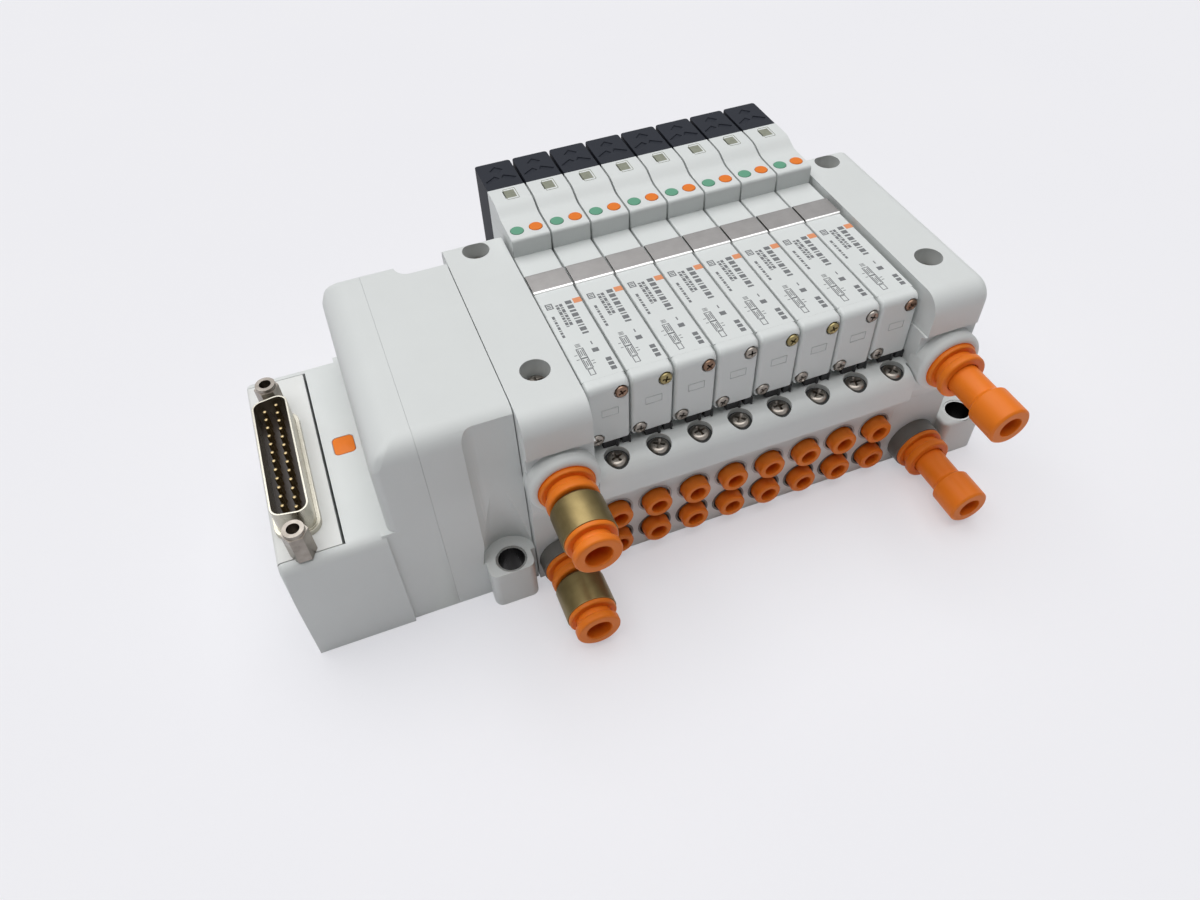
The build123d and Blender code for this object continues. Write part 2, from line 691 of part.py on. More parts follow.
def pilot_profile():
    """Side view of the pilot cover: low nose, smooth rise, high rear."""
    slope_start = PILOT_FRONT + PILOT_LOW_LENGTH
    slope_end = slope_start + PILOT_SLOPE_LENGTH
    back = CAP_FRONT - SEAT_GAP
    nose = Polyline((back, VALVE_TOP), (PILOT_FRONT, VALVE_TOP), (PILOT_FRONT, PILOT_LOW_TOP),
                    (slope_start, PILOT_LOW_TOP))
    rise = Spline((slope_start, PILOT_LOW_TOP), (slope_end, PILOT_HIGH_TOP), tangents=[(1, 0), (1, 0)])
    rear = Polyline((slope_end, PILOT_HIGH_TOP), (back, PILOT_HIGH_TOP), (back, VALVE_TOP))
    return make_face(nose + rise + rear)


def window_box(index, grow, z0, z1):
    """Upright box at one lamp window's place, larger than the window by grow all round."""
    x = station_x(index)
    half = WINDOW_WIDTH / 2 + grow
    return box(x - half, x + half, WINDOW_FRONT - grow, WINDOW_FRONT + WINDOW_LENGTH + grow, z0, z1)


def pilot_cover(index):
    """White cover over one pilot pair, with holes for the buttons and the lamp window."""
    x = station_x(index)
    half = VALVE_WIDTH / 2
    cover = run_along_x(pilot_profile(), x - half, x + half)
    cover = fillet(edges_at(cover, Axis.X, y=PILOT_FRONT, z=PILOT_LOW_TOP), PILOT_NOSE_RADIUS)
    floor = PILOT_LOW_TOP + BUTTON_PROUD - BUTTON_HEIGHT - BUTTON_TRAVEL - FREE_GAP
    for button_x, button_y in button_places(index):
        cover = cover - rod_z(BUTTON_RADIUS + RUN_GAP, button_x, button_y, floor, PILOT_LOW_TOP + OVER)
    return cover - window_box(index, SEAT_GAP, PILOT_HIGH_TOP - WINDOW_THICK, PILOT_HIGH_TOP + OVER)


def lamp_window(index):
    """Small clear window over the indicator lamps, with a raised frame."""
    top = PILOT_HIGH_TOP + WINDOW_PROUD
    window = window_box(index, 0, PILOT_HIGH_TOP - WINDOW_THICK, top)
    return window - window_box(index, -WINDOW_FRAME, top - WINDOW_DISH, top + OVER)


def override_button(x, y):
    """Round push button of one manual override."""
    top = PILOT_LOW_TOP + BUTTON_PROUD
    button = rod_z(BUTTON_RADIUS, x, y, top - BUTTON_HEIGHT, top)
    return chamfer(button.edges().filter_by(GeomType.CIRCLE).sort_by(Axis.Z)[-1], BUTTON_EDGE)


def pilot_cap(index):
    """Dark cap on the rear of one valve, with a moulded pattern on its top."""
    x = station_x(index)
    half = VALVE_WIDTH / 2 - CAP_SIDE_GAP
    cap = box(x - half, x + half, CAP_FRONT, CAP_FRONT + CAP_LENGTH, CAP_BOTTOM, PILOT_HIGH_TOP)
    cap = fillet(edges_at(cap, Axis.Z, y=CAP_FRONT + CAP_LENGTH), CAP_CORNER_RADIUS)
    cap = chamfer(cap.edges().group_by(Axis.Z)[-1], CAP_EDGE)
    for side in (-1, 1):
        for turn, depth in ((-CAP_SLOT_TURN, CAP_SLOT_FRONT), (CAP_SLOT_TURN, CAP_SLOT_BACK)):
            slot = Rot(0, 0, side * turn) * Box(CAP_SLOT_LENGTH, CAP_SLOT_WIDTH, CAP_RELIEF * 2)
            cap = cap - Pos(x + side * CAP_SLOT_OFFSET, CAP_FRONT + depth, PILOT_HIGH_TOP) * slot
    return cap


# Small tube ports

def small_cartridge(x, z):
    """Fitting body of one output port, with a lip round the collar's head."""
    floor = CARTRIDGE_FACE + COLLAR_TRAVEL + FREE_GAP * 2
    deep = floor + COLLAR_SLEEVE_LENGTH
    bore = COLLAR_SLEEVE_RADIUS + RUN_GAP
    lip = CARTRIDGE_RADIUS - CARTRIDGE_LIP
    points = [(CARTRIDGE_RADIUS, CARTRIDGE_FACE), (lip, CARTRIDGE_FACE), (lip, floor), (bore, floor),
              (bore, deep), (TUBE_RADIUS, deep), (TUBE_RADIUS, CARTRIDGE_END),
              (CARTRIDGE_RADIUS, CARTRIDGE_END)]
    return turned(points, x, z)


def small_collar(x, z):
    """Release collar of one output port."""
    back = CARTRIDGE_FACE + FREE_GAP
    face = back - COLLAR_HEAD
    end = CARTRIDGE_FACE + COLLAR_SLEEVE_LENGTH
    sleeve_bore = TUBE_RADIUS + TUBE_LEAD
    points = [(sleeve_bore, face), (COLLAR_RADIUS - COLLAR_EDGE, face), (COLLAR_RADIUS, face + COLLAR_EDGE),
              (COLLAR_RADIUS, back), (COLLAR_SLEEVE_RADIUS, back), (COLLAR_SLEEVE_RADIUS, end),
              (sleeve_bore, end), (sleeve_bore, back), (TUBE_RADIUS, back), (TUBE_RADIUS, face + TUBE_LEAD)]
    return turned(points, x, z)


# Large ports

def big_ports():
    """Each large port: side, row, x, height, depth of its mouth and whether its sleeve shows."""
    ports = []
    for sign, side in ((-1, "left"), (1, "right")):
        ports.append((side, "upper", sign * BIG_X, BIG_HIGH, BOSS_FACE, False))
        ports.append((side, "lower", sign * BIG_LOW_X, PORT_ROW_LOW, SLEEVE_FACE, True))
    return ports


def big_cartridge(x, z, face, sleeve_shows):
    """Fitting body of a large port. Its sleeve stands proud where it shows."""
    neck = BIG_NECK_RADIUS + RUN_GAP
    floor = face + GUIDE_DEPTH
    deep = face + BIG_NECK_LENGTH + BIG_TRAVEL + FREE_GAP
    stem = STEM_RADIUS + SEAT_GAP
    stem_end = face + STEM_INSERT
    if sleeve_shows:
        mouth = [(SLEEVE_RADIUS, face), (neck + GUIDE_WALL, face), (neck + GUIDE_WALL, floor)]
    else:
        mouth = [(SLEEVE_RADIUS, floor)]
    rest = [(neck, floor), (neck, deep), (stem, deep), (stem, stem_end), (0, stem_end),
            (0, BIG_CARTRIDGE_DEPTH), (SLEEVE_RADIUS, BIG_CARTRIDGE_DEPTH)]
    return turned(mouth + rest, x, z)


def guide_ring(x, z, face, outer, neck, seat):
    """Ring that closes a fitting's mouth and guides its release collar."""
    inner = neck + RUN_GAP
    front = face - GUIDE_HEAD
    end = face + GUIDE_DEPTH - SEAT_GAP
    points = [(inner, front), (outer - GUIDE_EDGE, front), (outer, front + GUIDE_EDGE),
              (outer, face - SEAT_GAP), (seat, face - SEAT_GAP), (seat, end), (inner, end)]
    return turned(points, x, z)


def release_collar(x, z, face, flange, neck, tube, reach):
    """Release collar: a rounded flange in front of its guide ring and a neck that reaches in."""
    back = face - COLLAR_SPACE
    front = back - BIG_FLANGE
    end = face + reach
    points = [(tube + BORE_LEAD, front), (flange - FLANGE_EDGE, front),
              (flange - FLANGE_EDGE / 4, front + FLANGE_EDGE / 2), (flange, front + FLANGE_EDGE),
              (flange, back - FLANGE_BACK_EDGE), (flange - FLANGE_BACK_EDGE, back), (neck, back),
              (neck, end), (tube, end), (tube, front + BORE_LEAD)]
    return turned(points, x, z)


def port_plug(x, z, face):
    """Plug of a large port: long stem and a thicker knob with a hole in its end."""
    inside = face + STEM_INSERT - SEAT_GAP
    knob = face - BIG_REACH - PLUG_STEM
    end = knob - PLUG_KNOB
    hole = end + PLUG_HOLE_DEPTH
    points = [(0, inside), (STEM_RADIUS, inside), (STEM_RADIUS, knob),
              (PLUG_KNOB_RADIUS, knob - PLUG_SHOULDER), (PLUG_KNOB_RADIUS, end + PLUG_EDGE),
              (PLUG_KNOB_RADIUS - PLUG_EDGE, end), (PLUG_HOLE_RADIUS, end), (PLUG_HOLE_RADIUS, hole),
              (0, hole)]
    return turned(points, x, z)


def adaptor_end(face):
    """Depth of the front end of an adaptor that sits in a large port."""
    return face - BIG_REACH - ADAPTOR_NECK - ADAPTOR_BODY


def brass_adaptor(x, z, face):
    """Brass adaptor: plain stem in the port, round body with a smaller fitting in front."""
    start = face - BIG_REACH
    inside = face + STEM_INSERT - SEAT_GAP
    end = adaptor_end(face)
    neck = FAR_NECK_RADIUS + RUN_GAP
    deep = end + ADAPTOR_COLLAR_SPACE + BIG_TRAVEL + FREE_GAP
    stop = FAR_TUBE_RADIUS - FAR_TUBE_STOP
    points = [(STEM_RADIUS, inside), (STEM_RADIUS, start - FREE_GAP),
              (ADAPTOR_RADIUS - ADAPTOR_BEVEL, start - FREE_GAP), (ADAPTOR_RADIUS, start - ADAPTOR_SHOULDER),
              (ADAPTOR_RADIUS, end), (neck + FAR_GUIDE_WALL, end), (neck + FAR_GUIDE_WALL, end + GUIDE_DEPTH),
              (neck, end + GUIDE_DEPTH), (neck, deep), (stop, deep), (stop, inside)]
    return turned(points, x, z)


def port_bodies():
    """Fitting bodies of all twenty ports."""
    bodies = []
    for index in range(STATIONS):
        for z in (PORT_ROW_HIGH, PORT_ROW_LOW):
            bodies.append(small_cartridge(station_x(index), z))
    for _, _, x, z, face, sleeve_shows in big_ports():
        bodies.append(big_cartridge(x, z, face, sleeve_shows))
    return bodies


def guide_rings():
    """Rings of the four large ports and of the two adaptors."""
    rings = []
    for side, _, x, z, face, sleeve_shows in big_ports():
        seat = BIG_NECK_RADIUS + RUN_GAP + GUIDE_WALL - SEAT_GAP if sleeve_shows else SLEEVE_RADIUS
        rings.append(guide_ring(x, z, face, GUIDE_RADIUS, BIG_NECK_RADIUS, seat))
        if side == "left":
            seat = FAR_NECK_RADIUS + RUN_GAP + FAR_GUIDE_WALL - SEAT_GAP
            rings.append(guide_ring(x, z, adaptor_end(face), FAR_GUIDE_RADIUS, FAR_NECK_RADIUS, seat))
    return rings


def write_moving_pieces():
    """Each release collar and each override button is a node of its own."""
    for index in range(STATIONS):
        x = station_x(index)
        write_node(f"collar_upper_{index + 1}", [small_collar(x, PORT_ROW_HIGH)])
        write_node(f"collar_lower_{index + 1}", [small_collar(x, PORT_ROW_LOW)])
        left, right = button_places(index)
        write_node(f"override_green_{index + 1}", [override_button(*left)])
        write_node(f"override_orange_{index + 1}", [override_button(*right)])
    for side, row, x, z, face, _ in big_ports():
        collar = release_collar(x, z, face, BIG_FLANGE_RADIUS, BIG_NECK_RADIUS, STEM_RADIUS + RUN_GAP,
                                BIG_NECK_LENGTH)
        write_node(f"collar_{side}_{row}", [collar])
        if side == "left":
            collar = release_collar(x, z, adaptor_end(face), FAR_FLANGE_RADIUS, FAR_NECK_RADIUS,
                                    FAR_TUBE_RADIUS, ADAPTOR_COLLAR_SPACE)
            write_node(f"adaptor_collar_{row}", [collar])


def write_fixed_pieces():
    """All pieces that are screwed, pressed or clipped together."""
    numbers = range(STATIONS)
    left = [port[2:5] for port in big_ports() if port[0] == "left"]
    right = [port[2:5] for port in big_ports() if port[0] == "right"]
    write_node("manifold_base", manifold_base())
    write_node("left_end_block", [end_block(-1)])
    write_node("right_end_block", [right_end_block()])
    write_node("junction_block", [junction_block()])
    write_node("connector_housing", [connector_housing()])
    write_node("connector_panel", [connector_panel()])
    write_node("dsub_shell", [dsub_shell()])
    write_node("dsub_insulator", [dsub_insulator()])
    write_node("contact_pins", contact_pins())
    write_node("jackscrews", jackscrews())
    write_node("mounting_bushes", bushes())
    write_node("valve_bodies", [valve_body(index) for index in numbers])
    write_node("valve_covers", [valve_cover(index) for index in numbers])
    write_node("retainer_plates", [retainer_plate(index) for index in numbers])
    write_node("pilot_covers", [pilot_cover(index) for index in numbers])
    write_node("pilot_caps", [pilot_cap(index) for index in numbers])
    write_node("lamp_windows", [lamp_window(index) for index in numbers])
    write_node("machine_screws", machine_screws())
    write_node("port_cartridges", port_bodies())
    write_node("port_guides", guide_rings())
    write_node("brass_adaptors", [brass_adaptor(*place) for place in left])
    write_node("port_plugs", [port_plug(*place) for place in right])


os.makedirs("parts", exist_ok=True)
write_fixed_pieces()
write_moving_pieces()
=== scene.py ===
# %% [markdown]
# # A pneumatic valve island as a studio picture
# The real object is a row of eight slim air valves on one moulded manifold. Tubes plug into the
# orange collars in front, and one cable plugs into the D-shaped connector on the left. This
# lesson starts from the finished CAD model, sets up the camera and the light, models the small
# pieces and soft mouldings that the CAD model keeps plain, and gives every surface the finish of
# its real material.

import math

import bmesh
import bpy
from mathutils import Matrix, Vector


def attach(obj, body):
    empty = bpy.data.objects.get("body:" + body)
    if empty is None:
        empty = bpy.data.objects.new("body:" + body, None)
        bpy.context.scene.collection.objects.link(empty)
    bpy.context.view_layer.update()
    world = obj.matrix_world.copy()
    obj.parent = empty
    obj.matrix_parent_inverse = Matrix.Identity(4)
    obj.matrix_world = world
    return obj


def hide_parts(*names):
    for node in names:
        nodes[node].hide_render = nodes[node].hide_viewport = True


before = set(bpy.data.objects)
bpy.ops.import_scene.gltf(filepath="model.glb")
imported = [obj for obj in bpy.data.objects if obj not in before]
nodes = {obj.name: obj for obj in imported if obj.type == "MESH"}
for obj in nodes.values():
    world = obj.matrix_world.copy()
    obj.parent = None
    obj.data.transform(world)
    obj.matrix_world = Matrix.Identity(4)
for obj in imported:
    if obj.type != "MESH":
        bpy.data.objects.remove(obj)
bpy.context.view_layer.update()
MM = 0.001

# %% [markdown]
# ## The camera
# The picture was taken from above and a little from the left. The camera's place, its three
# directions and its lens come from measured points: the valve pitch, the connector's standard
# screw spacing and the mounting holes. The directions are given as rows and turned into
# Blender's camera axes, which look along -Z with +Y up.

# %% Camera
CAMERA_PLACE = Vector((-83.277, -155.959, 192.113)) * MM
TO_THE_RIGHT = Vector((0.93200, -0.36093, -0.03318))
DOWNWARDS = Vector((-0.29158, -0.69225, -0.66013))
INTO_THE_PICTURE = Vector((0.21529, 0.62492, -0.75042))
SENSOR_WIDTH = 36.0
LENS = 26.6
NEAREST, FARTHEST = 0.01, 20

bpy.ops.object.camera_add(location=CAMERA_PLACE)
camera = bpy.context.object
axes = Matrix((TO_THE_RIGHT, -DOWNWARDS, -INTO_THE_PICTURE)).transposed()
camera.rotation_euler = axes.to_euler()
camera.data.sensor_width = SENSOR_WIDTH
camera.data.lens = LENS
camera.data.clip_start = NEAREST
camera.data.clip_end = FARTHEST
bpy.context.scene.camera = camera
print("camera", camera.name, "lens", LENS)

# %% [markdown]
# ## Colours and nodes
# Colours are written as sRGB hex values, the way a paint chip or a screen shows them. Blender
# mixes light in linear values, so one function turns the hex code into those. A second small
# function adds any shader node, sets its values and links its inputs. Most real surfaces are not
# one even colour, so a third lets the base colour cloud between two tones.


# %% Helpers for materials
def linear(code):
    """sRGB hex colour as linear RGBA."""
    channels = [int(code[i:i + 2], 16) / 255 for i in (1, 3, 5)]
    return tuple(c / 12.92 if c <= 0.04045 else ((c + 0.055) / 1.055) ** 2.4 for c in channels) + (1.0,)


def per_mm(size):
    """Texture scale at which one feature of a noise is about this many millimetres wide."""
    return 1 / (size * MM)


def add_node(tree, kind, settings=(), links=()):
    """Adds one node. Settings are its properties or input values, links its inputs' sources."""
    node = tree.nodes.new(kind)
    for key, value in dict(settings).items():
        if isinstance(key, str) and hasattr(node, key):
            setattr(node, key, value)
        else:
            node.inputs[key].default_value = value
    for key, source in dict(links).items():
        tree.links.new(source, node.inputs[key])
    return node


def new_material(name, settings):
    """A material with one Principled shader. Returns the material, its tree, shader and coordinates."""
    material = bpy.data.materials.new(name)
    material.use_nodes = True
    tree = material.node_tree
    shader = tree.nodes["Principled BSDF"]
    for key, value in settings.items():
        shader.inputs[key].default_value = value
    coordinates = add_node(tree, "ShaderNodeTexCoord").outputs["Object"]
    return material, tree, shader, coordinates


def cloud_colour(tree, shader, coordinates, tones, size, detail, **settings):
    """Base colour that clouds between two tones, in spots about so many millimetres wide."""
    clouds = add_node(tree, "ShaderNodeTexNoise", {"Scale": per_mm(size), "Detail": detail, **settings},
                      {"Vector": coordinates})
    mix = add_node(tree, "ShaderNodeMix", {"data_type": "RGBA", 6: linear(tones[0]), 7: linear(tones[1])},
                   {0: clouds.outputs["Fac"]})
    tree.links.new(mix.outputs[2], shader.inputs["Base Color"])


print("five helpers for materials")

# %% [markdown]
# ## The board
# The object stands on white matt board. In the picture its shadow is paler than one soft lamp
# gives, because the whole room throws light back. So where the board is looked at, a share of it
# is a plain glow. The Light Path node tells such rays from those that carry light from piece to
# piece, and for these the board stays an ordinary board.

# %% Board
FLOOR_SIZE = 4.0
BOARD_TONES = ("#EFEFF3", "#F4F3F5")
GLOW_COLOUR = "#EFEFF4"
GLOW_SHARE = 0.48


def looked_at(tree):
    """1 for rays to the camera, straight, by a reflection or through clear resin, and 0 for others."""
    path = add_node(tree, "ShaderNodeLightPath")
    straight = add_node(tree, "ShaderNodeMath", {"operation": "MAXIMUM"},
                        {0: path.outputs["Is Camera Ray"], 1: path.outputs["Is Glossy Ray"]})
    either = add_node(tree, "ShaderNodeMath", {"operation": "MAXIMUM"},
                      {0: straight.outputs[0], 1: path.outputs["Is Transmission Ray"]})
    return either.outputs[0]


bpy.ops.object.select_all(action="DESELECT")
bpy.ops.mesh.primitive_plane_add(size=FLOOR_SIZE)
floor = bpy.context.object
floor.name = "floor"
board, tree, shader, coordinates = new_material("white matt board", {"Roughness": 0.75})
cloud_colour(tree, shader, coordinates, BOARD_TONES, 90, 2.0)
share = add_node(tree, "ShaderNodeMath", {"operation": "MULTIPLY", 1: GLOW_SHARE}, {0: looked_at(tree)})
glow = add_node(tree, "ShaderNodeEmission", {"Color": linear(GLOW_COLOUR), "Strength": 1.0})
mix = add_node(tree, "ShaderNodeMixShader", (),
               {0: share.outputs[0], 1: shader.outputs[0], 2: glow.outputs[0]})
tree.links.new(mix.outputs[0], tree.nodes["Material Output"].inputs["Surface"])
floor.data.materials.append(board)
print("board", FLOOR_SIZE, "m wide")

# %% [markdown]
# ## The light
# A large soft light hangs almost straight above, so the tops are bright and the fronts are lit
# mostly by what the board throws back. A sun lamp with a wide angle gives the same soft shadow
# everywhere. The world adds very little light, and shows itself as a pale wall to the camera and
# in the metal parts.

# %% Lamp and world
KEY_STRENGTH = 2.84
KEY_ANGLE = math.radians(75)
KEY_TILT = (math.radians(-9), math.radians(-6), 0)
FILL_LEVEL = 0.035
WALL_LEVEL = 0.80
WALL_COLOUR = "#F6F8FB"

bpy.ops.object.light_add(type="SUN", rotation=KEY_TILT)
key = bpy.context.object
key.data.energy = KEY_STRENGTH
key.data.angle = KEY_ANGLE

world = bpy.data.worlds.new("pale studio")
bpy.context.scene.world = world
world.use_nodes = True
tree = world.node_tree
level = add_node(tree, "ShaderNodeMix", {"data_type": "FLOAT", 2: FILL_LEVEL, 3: WALL_LEVEL},
                 {0: looked_at(tree)})
background = tree.nodes["Background"]
background.inputs["Color"].default_value = linear(WALL_COLOUR)
tree.links.new(level.outputs[0], background.inputs["Strength"])
bpy.context.scene.view_settings.view_transform = "Standard"
print("one soft lamp and a pale world")

# %% [markdown]
# ## Moulded resin
# The bodies are injection-moulded glass-filled resin. Its mould was spark-eroded, so the
# surface has a fine matt grain, and the colour clouds a little where the melt flowed. A coarse
# noise gives the clouds and a fine one the grain. Real grain is about 0.1 mm, which is too fine
# to show at this distance, so it is drawn at 0.35 mm. Acetal, the resin of the collars, lets a
# little light in and is waxy rather than glossy, so it has some subsurface light and a weak shine.

# %% Resin materials
GRAIN_DEPTH = 0.05


def fine_grain(tree, shader, coordinates, size, strength):
    """Shallow relief from a noise, one grain about so many millimetres wide."""
    grain = add_node(tree, "ShaderNodeTexNoise", {"Scale": per_mm(size), "Detail": 2.0},
                     {"Vector": coordinates})
    relief = add_node(tree, "ShaderNodeBump", {"Strength": strength, "Distance": GRAIN_DEPTH * MM},
                      {"Height": grain.outputs["Fac"]})
    tree.links.new(relief.outputs["Normal"], shader.inputs["Normal"])


def moulded_resin(name, *tones, roughness=0.5, grain=0.35, bump=0.10, extra=()):
    """Moulded plastic with faint clouds and a fine grain."""
    material, tree, shader, coordinates = new_material(name, {"Roughness": roughness, **dict(extra)})
    cloud_colour(tree, shader, coordinates, tones, 14, 4.0, Roughness=0.6)
    fine_grain(tree, shader, coordinates, grain, bump)
    return material


WAXY = {"Subsurface Weight": 0.05, "Subsurface Radius": (1.0, 0.35, 0.12), "Subsurface Scale": 1.2 * MM,
        "Specular IOR Level": 0.25}
case_resin = moulded_resin("pale grey moulded resin", "#DDE0DF", "#D6D9D8")
valve_resin = moulded_resin("off-white moulded resin", "#DFE2E1", "#D9DDDC", roughness=0.45)
panel_resin = moulded_resin("white moulded panel", "#E4E5E3", "#DDDEDC")
# Darker than the valve resin as painted shade, for the shade a moulded groove would hold on the cover
# frames.
dull_painted_shade_resin = moulded_resin("dull off-white resin with painted shade", "#C2C5C5", "#BBBEBE", roughness=0.6)
cap_resin = moulded_resin("blue-black moulded resin", "#141821", "#1A1E28", roughness=0.62, bump=0.25,
                          extra={"Specular IOR Level": 0.22})
insulator_resin = moulded_resin("black-brown insulator", "#1E1510", "#2B1D13", roughness=0.35)
orange_acetal = moulded_resin("orange moulded acetal", "#ED8023", "#E67618", roughness=0.42, bump=0.05,
                              extra=WAXY)
green_acetal = moulded_resin("green moulded acetal", "#5A9E7F", "#519576", roughness=0.4, bump=0.05)
gasket_rubber = moulded_resin("black nitrile rubber", "#262728", "#303132", roughness=0.7, bump=0.2)
print("nine moulded materials")

# %% [markdown]
# ### Two shades in one node
# The fitting bodies of the upper row are pale, those of the lower row and of the two low supply
# ports are dark grey. They are one CAD node, so the material reads the place. It is pale above
# the lower row, apart from the supply ports, which are the only ones far out along the row.

# %% Fitting bodies
PALE_ABOVE = 12.3
SUPPLY_FROM = 43.0
SUPPLY_BELOW = 20.0
DARK_FITTING = "#6B6A66"
PALE_FITTING = "#AFB1B0"

fitting_resin, tree, shader, coordinates = new_material("grey fitting resin", {"Roughness": 0.42})
spot = add_node(tree, "ShaderNodeSeparateXYZ", (), {0: coordinates})
upper = add_node(tree, "ShaderNodeMath", {"operation": "GREATER_THAN", 1: PALE_ABOVE * MM},
                 {0: spot.outputs["Z"]})
across = add_node(tree, "ShaderNodeMath", {"operation": "ABSOLUTE"}, {0: spot.outputs["X"]})
supply = add_node(tree, "ShaderNodeMath", {"operation": "GREATER_THAN", 1: SUPPLY_FROM * MM},
                  {0: across.outputs[0]})
low = add_node(tree, "ShaderNodeMath", {"operation": "LESS_THAN", 1: SUPPLY_BELOW * MM},
               {0: spot.outputs["Z"]})
dark = add_node(tree, "ShaderNodeMath", {"operation": "MULTIPLY"}, {0: supply.outputs[0], 1: low.outputs[0]})
pale = add_node(tree, "ShaderNodeMath", {"operation": "SUBTRACT", "use_clamp": True},
                {0: upper.outputs[0], 1: dark.outputs[0]})
mix = add_node(tree, "ShaderNodeMix",
               {"data_type": "RGBA", 6: linear(DARK_FITTING), 7: linear(PALE_FITTING)}, {0: pale.outputs[0]})
tree.links.new(mix.outputs[2], shader.inputs["Base Color"])
fine_grain(tree, shader, coordinates, 0.4, 0.1)
print("fitting resin, pale above", PALE_ABOVE, "mm")

# %% [markdown]
# ## Metals
# Stainless strip is rolled, so its fine lines run along the row. The brass adaptors are turned
# and lightly tarnished. Plated screws are bright with darker spots. All of them use noise that
# is squeezed along one axis, and the noise moves roughness and relief a little. Two metals have
# another colour on one side of a plane, and both are painted light: the strip's rolled front edge
# is painted near-white as a painted highlight, and a bush is painted dark inside as painted shade
# in its hole.

# %% Metal materials
ORIGIN_DEPTH = 31.0  # depths are counted from the front mounting holes, this far before the origin
# Depth before which the strip is painted near-white as a painted highlight.
STRIP_HIGHLIGHT_DEPTH = 38.65 - ORIGIN_DEPTH
# Height below which the bush is painted dark as painted shade inside its hole.
BUSH_SHADE_BELOW = 12.3
LINE_DEPTH = 0.02


def plated_metal(name, *tones, roughness, stretch=(1, 1, 1), feature=0.8, spread=0.12):
    """Metal with fine lines. Stretch is the scale along X, Y and Z: a small value gives long lines."""
    material, tree, shader, coordinates = new_material(name, {"Metallic": 1.0})
    cloud_colour(tree, shader, coordinates, tones, 2.5, 3.0)
    squeeze = add_node(tree, "ShaderNodeMapping", {"Scale": stretch}, {"Vector": coordinates})
    lines = add_node(tree, "ShaderNodeTexNoise", {"Scale": per_mm(feature), "Detail": 3.0},
                     {"Vector": squeeze.outputs[0]})
    rough = add_node(tree, "ShaderNodeMapRange",
                     {"To Min": roughness - spread, "To Max": roughness + spread},
                     {"Value": lines.outputs["Fac"]})
    tree.links.new(rough.outputs[0], shader.inputs["Roughness"])
    relief = add_node(tree, "ShaderNodeBump", {"Strength": 0.05, "Distance": LINE_DEPTH * MM},
                      {"Height": lines.outputs["Fac"]})
    tree.links.new(relief.outputs["Normal"], shader.inputs["Normal"])
    return material


def repaint_below(material, axis, limit, colour):
    """Gives the material another colour below a limit, in millimetres along one axis."""
    tree = material.node_tree
    base = tree.nodes["Principled BSDF"].inputs["Base Color"]
    coordinates = tree.nodes["Texture Coordinate"].outputs["Object"]
    spot = add_node(tree, "ShaderNodeSeparateXYZ", (), {0: coordinates})
    below = add_node(tree, "ShaderNodeMath", {"operation": "LESS_THAN", 1: limit * MM},
                     {0: spot.outputs[axis]})
    mix = add_node(tree, "ShaderNodeMix", {"data_type": "RGBA", 7: linear(colour)},
                   {0: below.outputs[0], 6: base.links[0].from_socket})
    tree.links.new(mix.outputs[2], base)


strip_steel = plated_metal("rolled stainless strip with painted edge highlight", "#9D9A98", "#8F8C8A", roughness=0.38,
                           stretch=(0.05, 1, 1), feature=0.25)
# The strip's front edge is painted near-white: a painted highlight for the light its rolled edge catches.
repaint_below(strip_steel, "Y", STRIP_HIGHLIGHT_DEPTH, "#E9E8E6")
bush_steel = plated_metal("steel bush with painted shade inside", "#C4C4C2", "#A3A3A1", roughness=0.30,
                          stretch=(1, 1, 0.1), feature=0.4)
# The bush is painted dark below its rim: painted shade for its shadowed hole, not a colour of the steel.
repaint_below(bush_steel, "Z", BUSH_SHADE_BELOW, "#3A3938")
brass = plated_metal("turned satin brass", "#908058", "#776845", roughness=0.40, stretch=(1, 0.08, 1),
                     feature=0.3)
shell_plate = plated_metal("nickel-plated shell", "#C6C2B6", "#ACA89B", roughness=0.30,
                           stretch=(1, 1, 0.1), feature=0.4)
nickel = plated_metal("bright nickel plate", "#B0A9A1", "#6F6861", roughness=0.32, spread=0.1)
bronze_plate = plated_metal("bronze passivated plate", "#9C8070", "#65503F", roughness=0.34, spread=0.1)
yellow_plate = plated_metal("yellow passivated zinc", "#A89A70", "#6C6140", roughness=0.34, spread=0.1)
gold_plate = plated_metal("gold-plated contact", "#B5A27C", "#8F7C58", roughness=0.30, spread=0.08)
print("eight metals")

# %% [markdown]
# ## Lamp window and ink
# The lamp window is smoky clear resin over two lamps, so it is glossy, grey-green and lets some
# light in. The marks on the valves are printed with matt ink, a little thinner in places.

# %% Window and ink materials
lamp_resin, tree, shader, coordinates = new_material(
    "smoky clear resin", {"Roughness": 0.18, "Transmission Weight": 0.25, "Coat Weight": 0.3})
cloud_colour(tree, shader, coordinates, ("#82866F", "#A9AC98"), 1.1, 2.0)


def printed_ink(name, *tones):
    """Matt ink with worn spots."""
    material, tree, shader, coordinates = new_material(name, {"Roughness": 0.65})
    cloud_colour(tree, shader, coordinates, tones, 0.5, 3.0)
    return material


grey_ink = printed_ink("grey pad-printing ink", "#5F6164", "#7E8082")
orange_ink = printed_ink("orange pad-printing ink", "#E28A58", "#E39C72")
print("window resin and two inks")

# %% [markdown]
# ## Softer edges on the CAD pieces
# A CAD node comes as loose triangles. Weld joins them, a planar Decimate turns each flat side
# back into one face, and Bevel rounds every sharp edge by a tenth of a millimetre, because no
# moulded or plated edge is razor sharp. Weighted Normal then lets the large flat faces decide
# the shading, so they look flat up to the rounding. The mesh itself isn't changed.

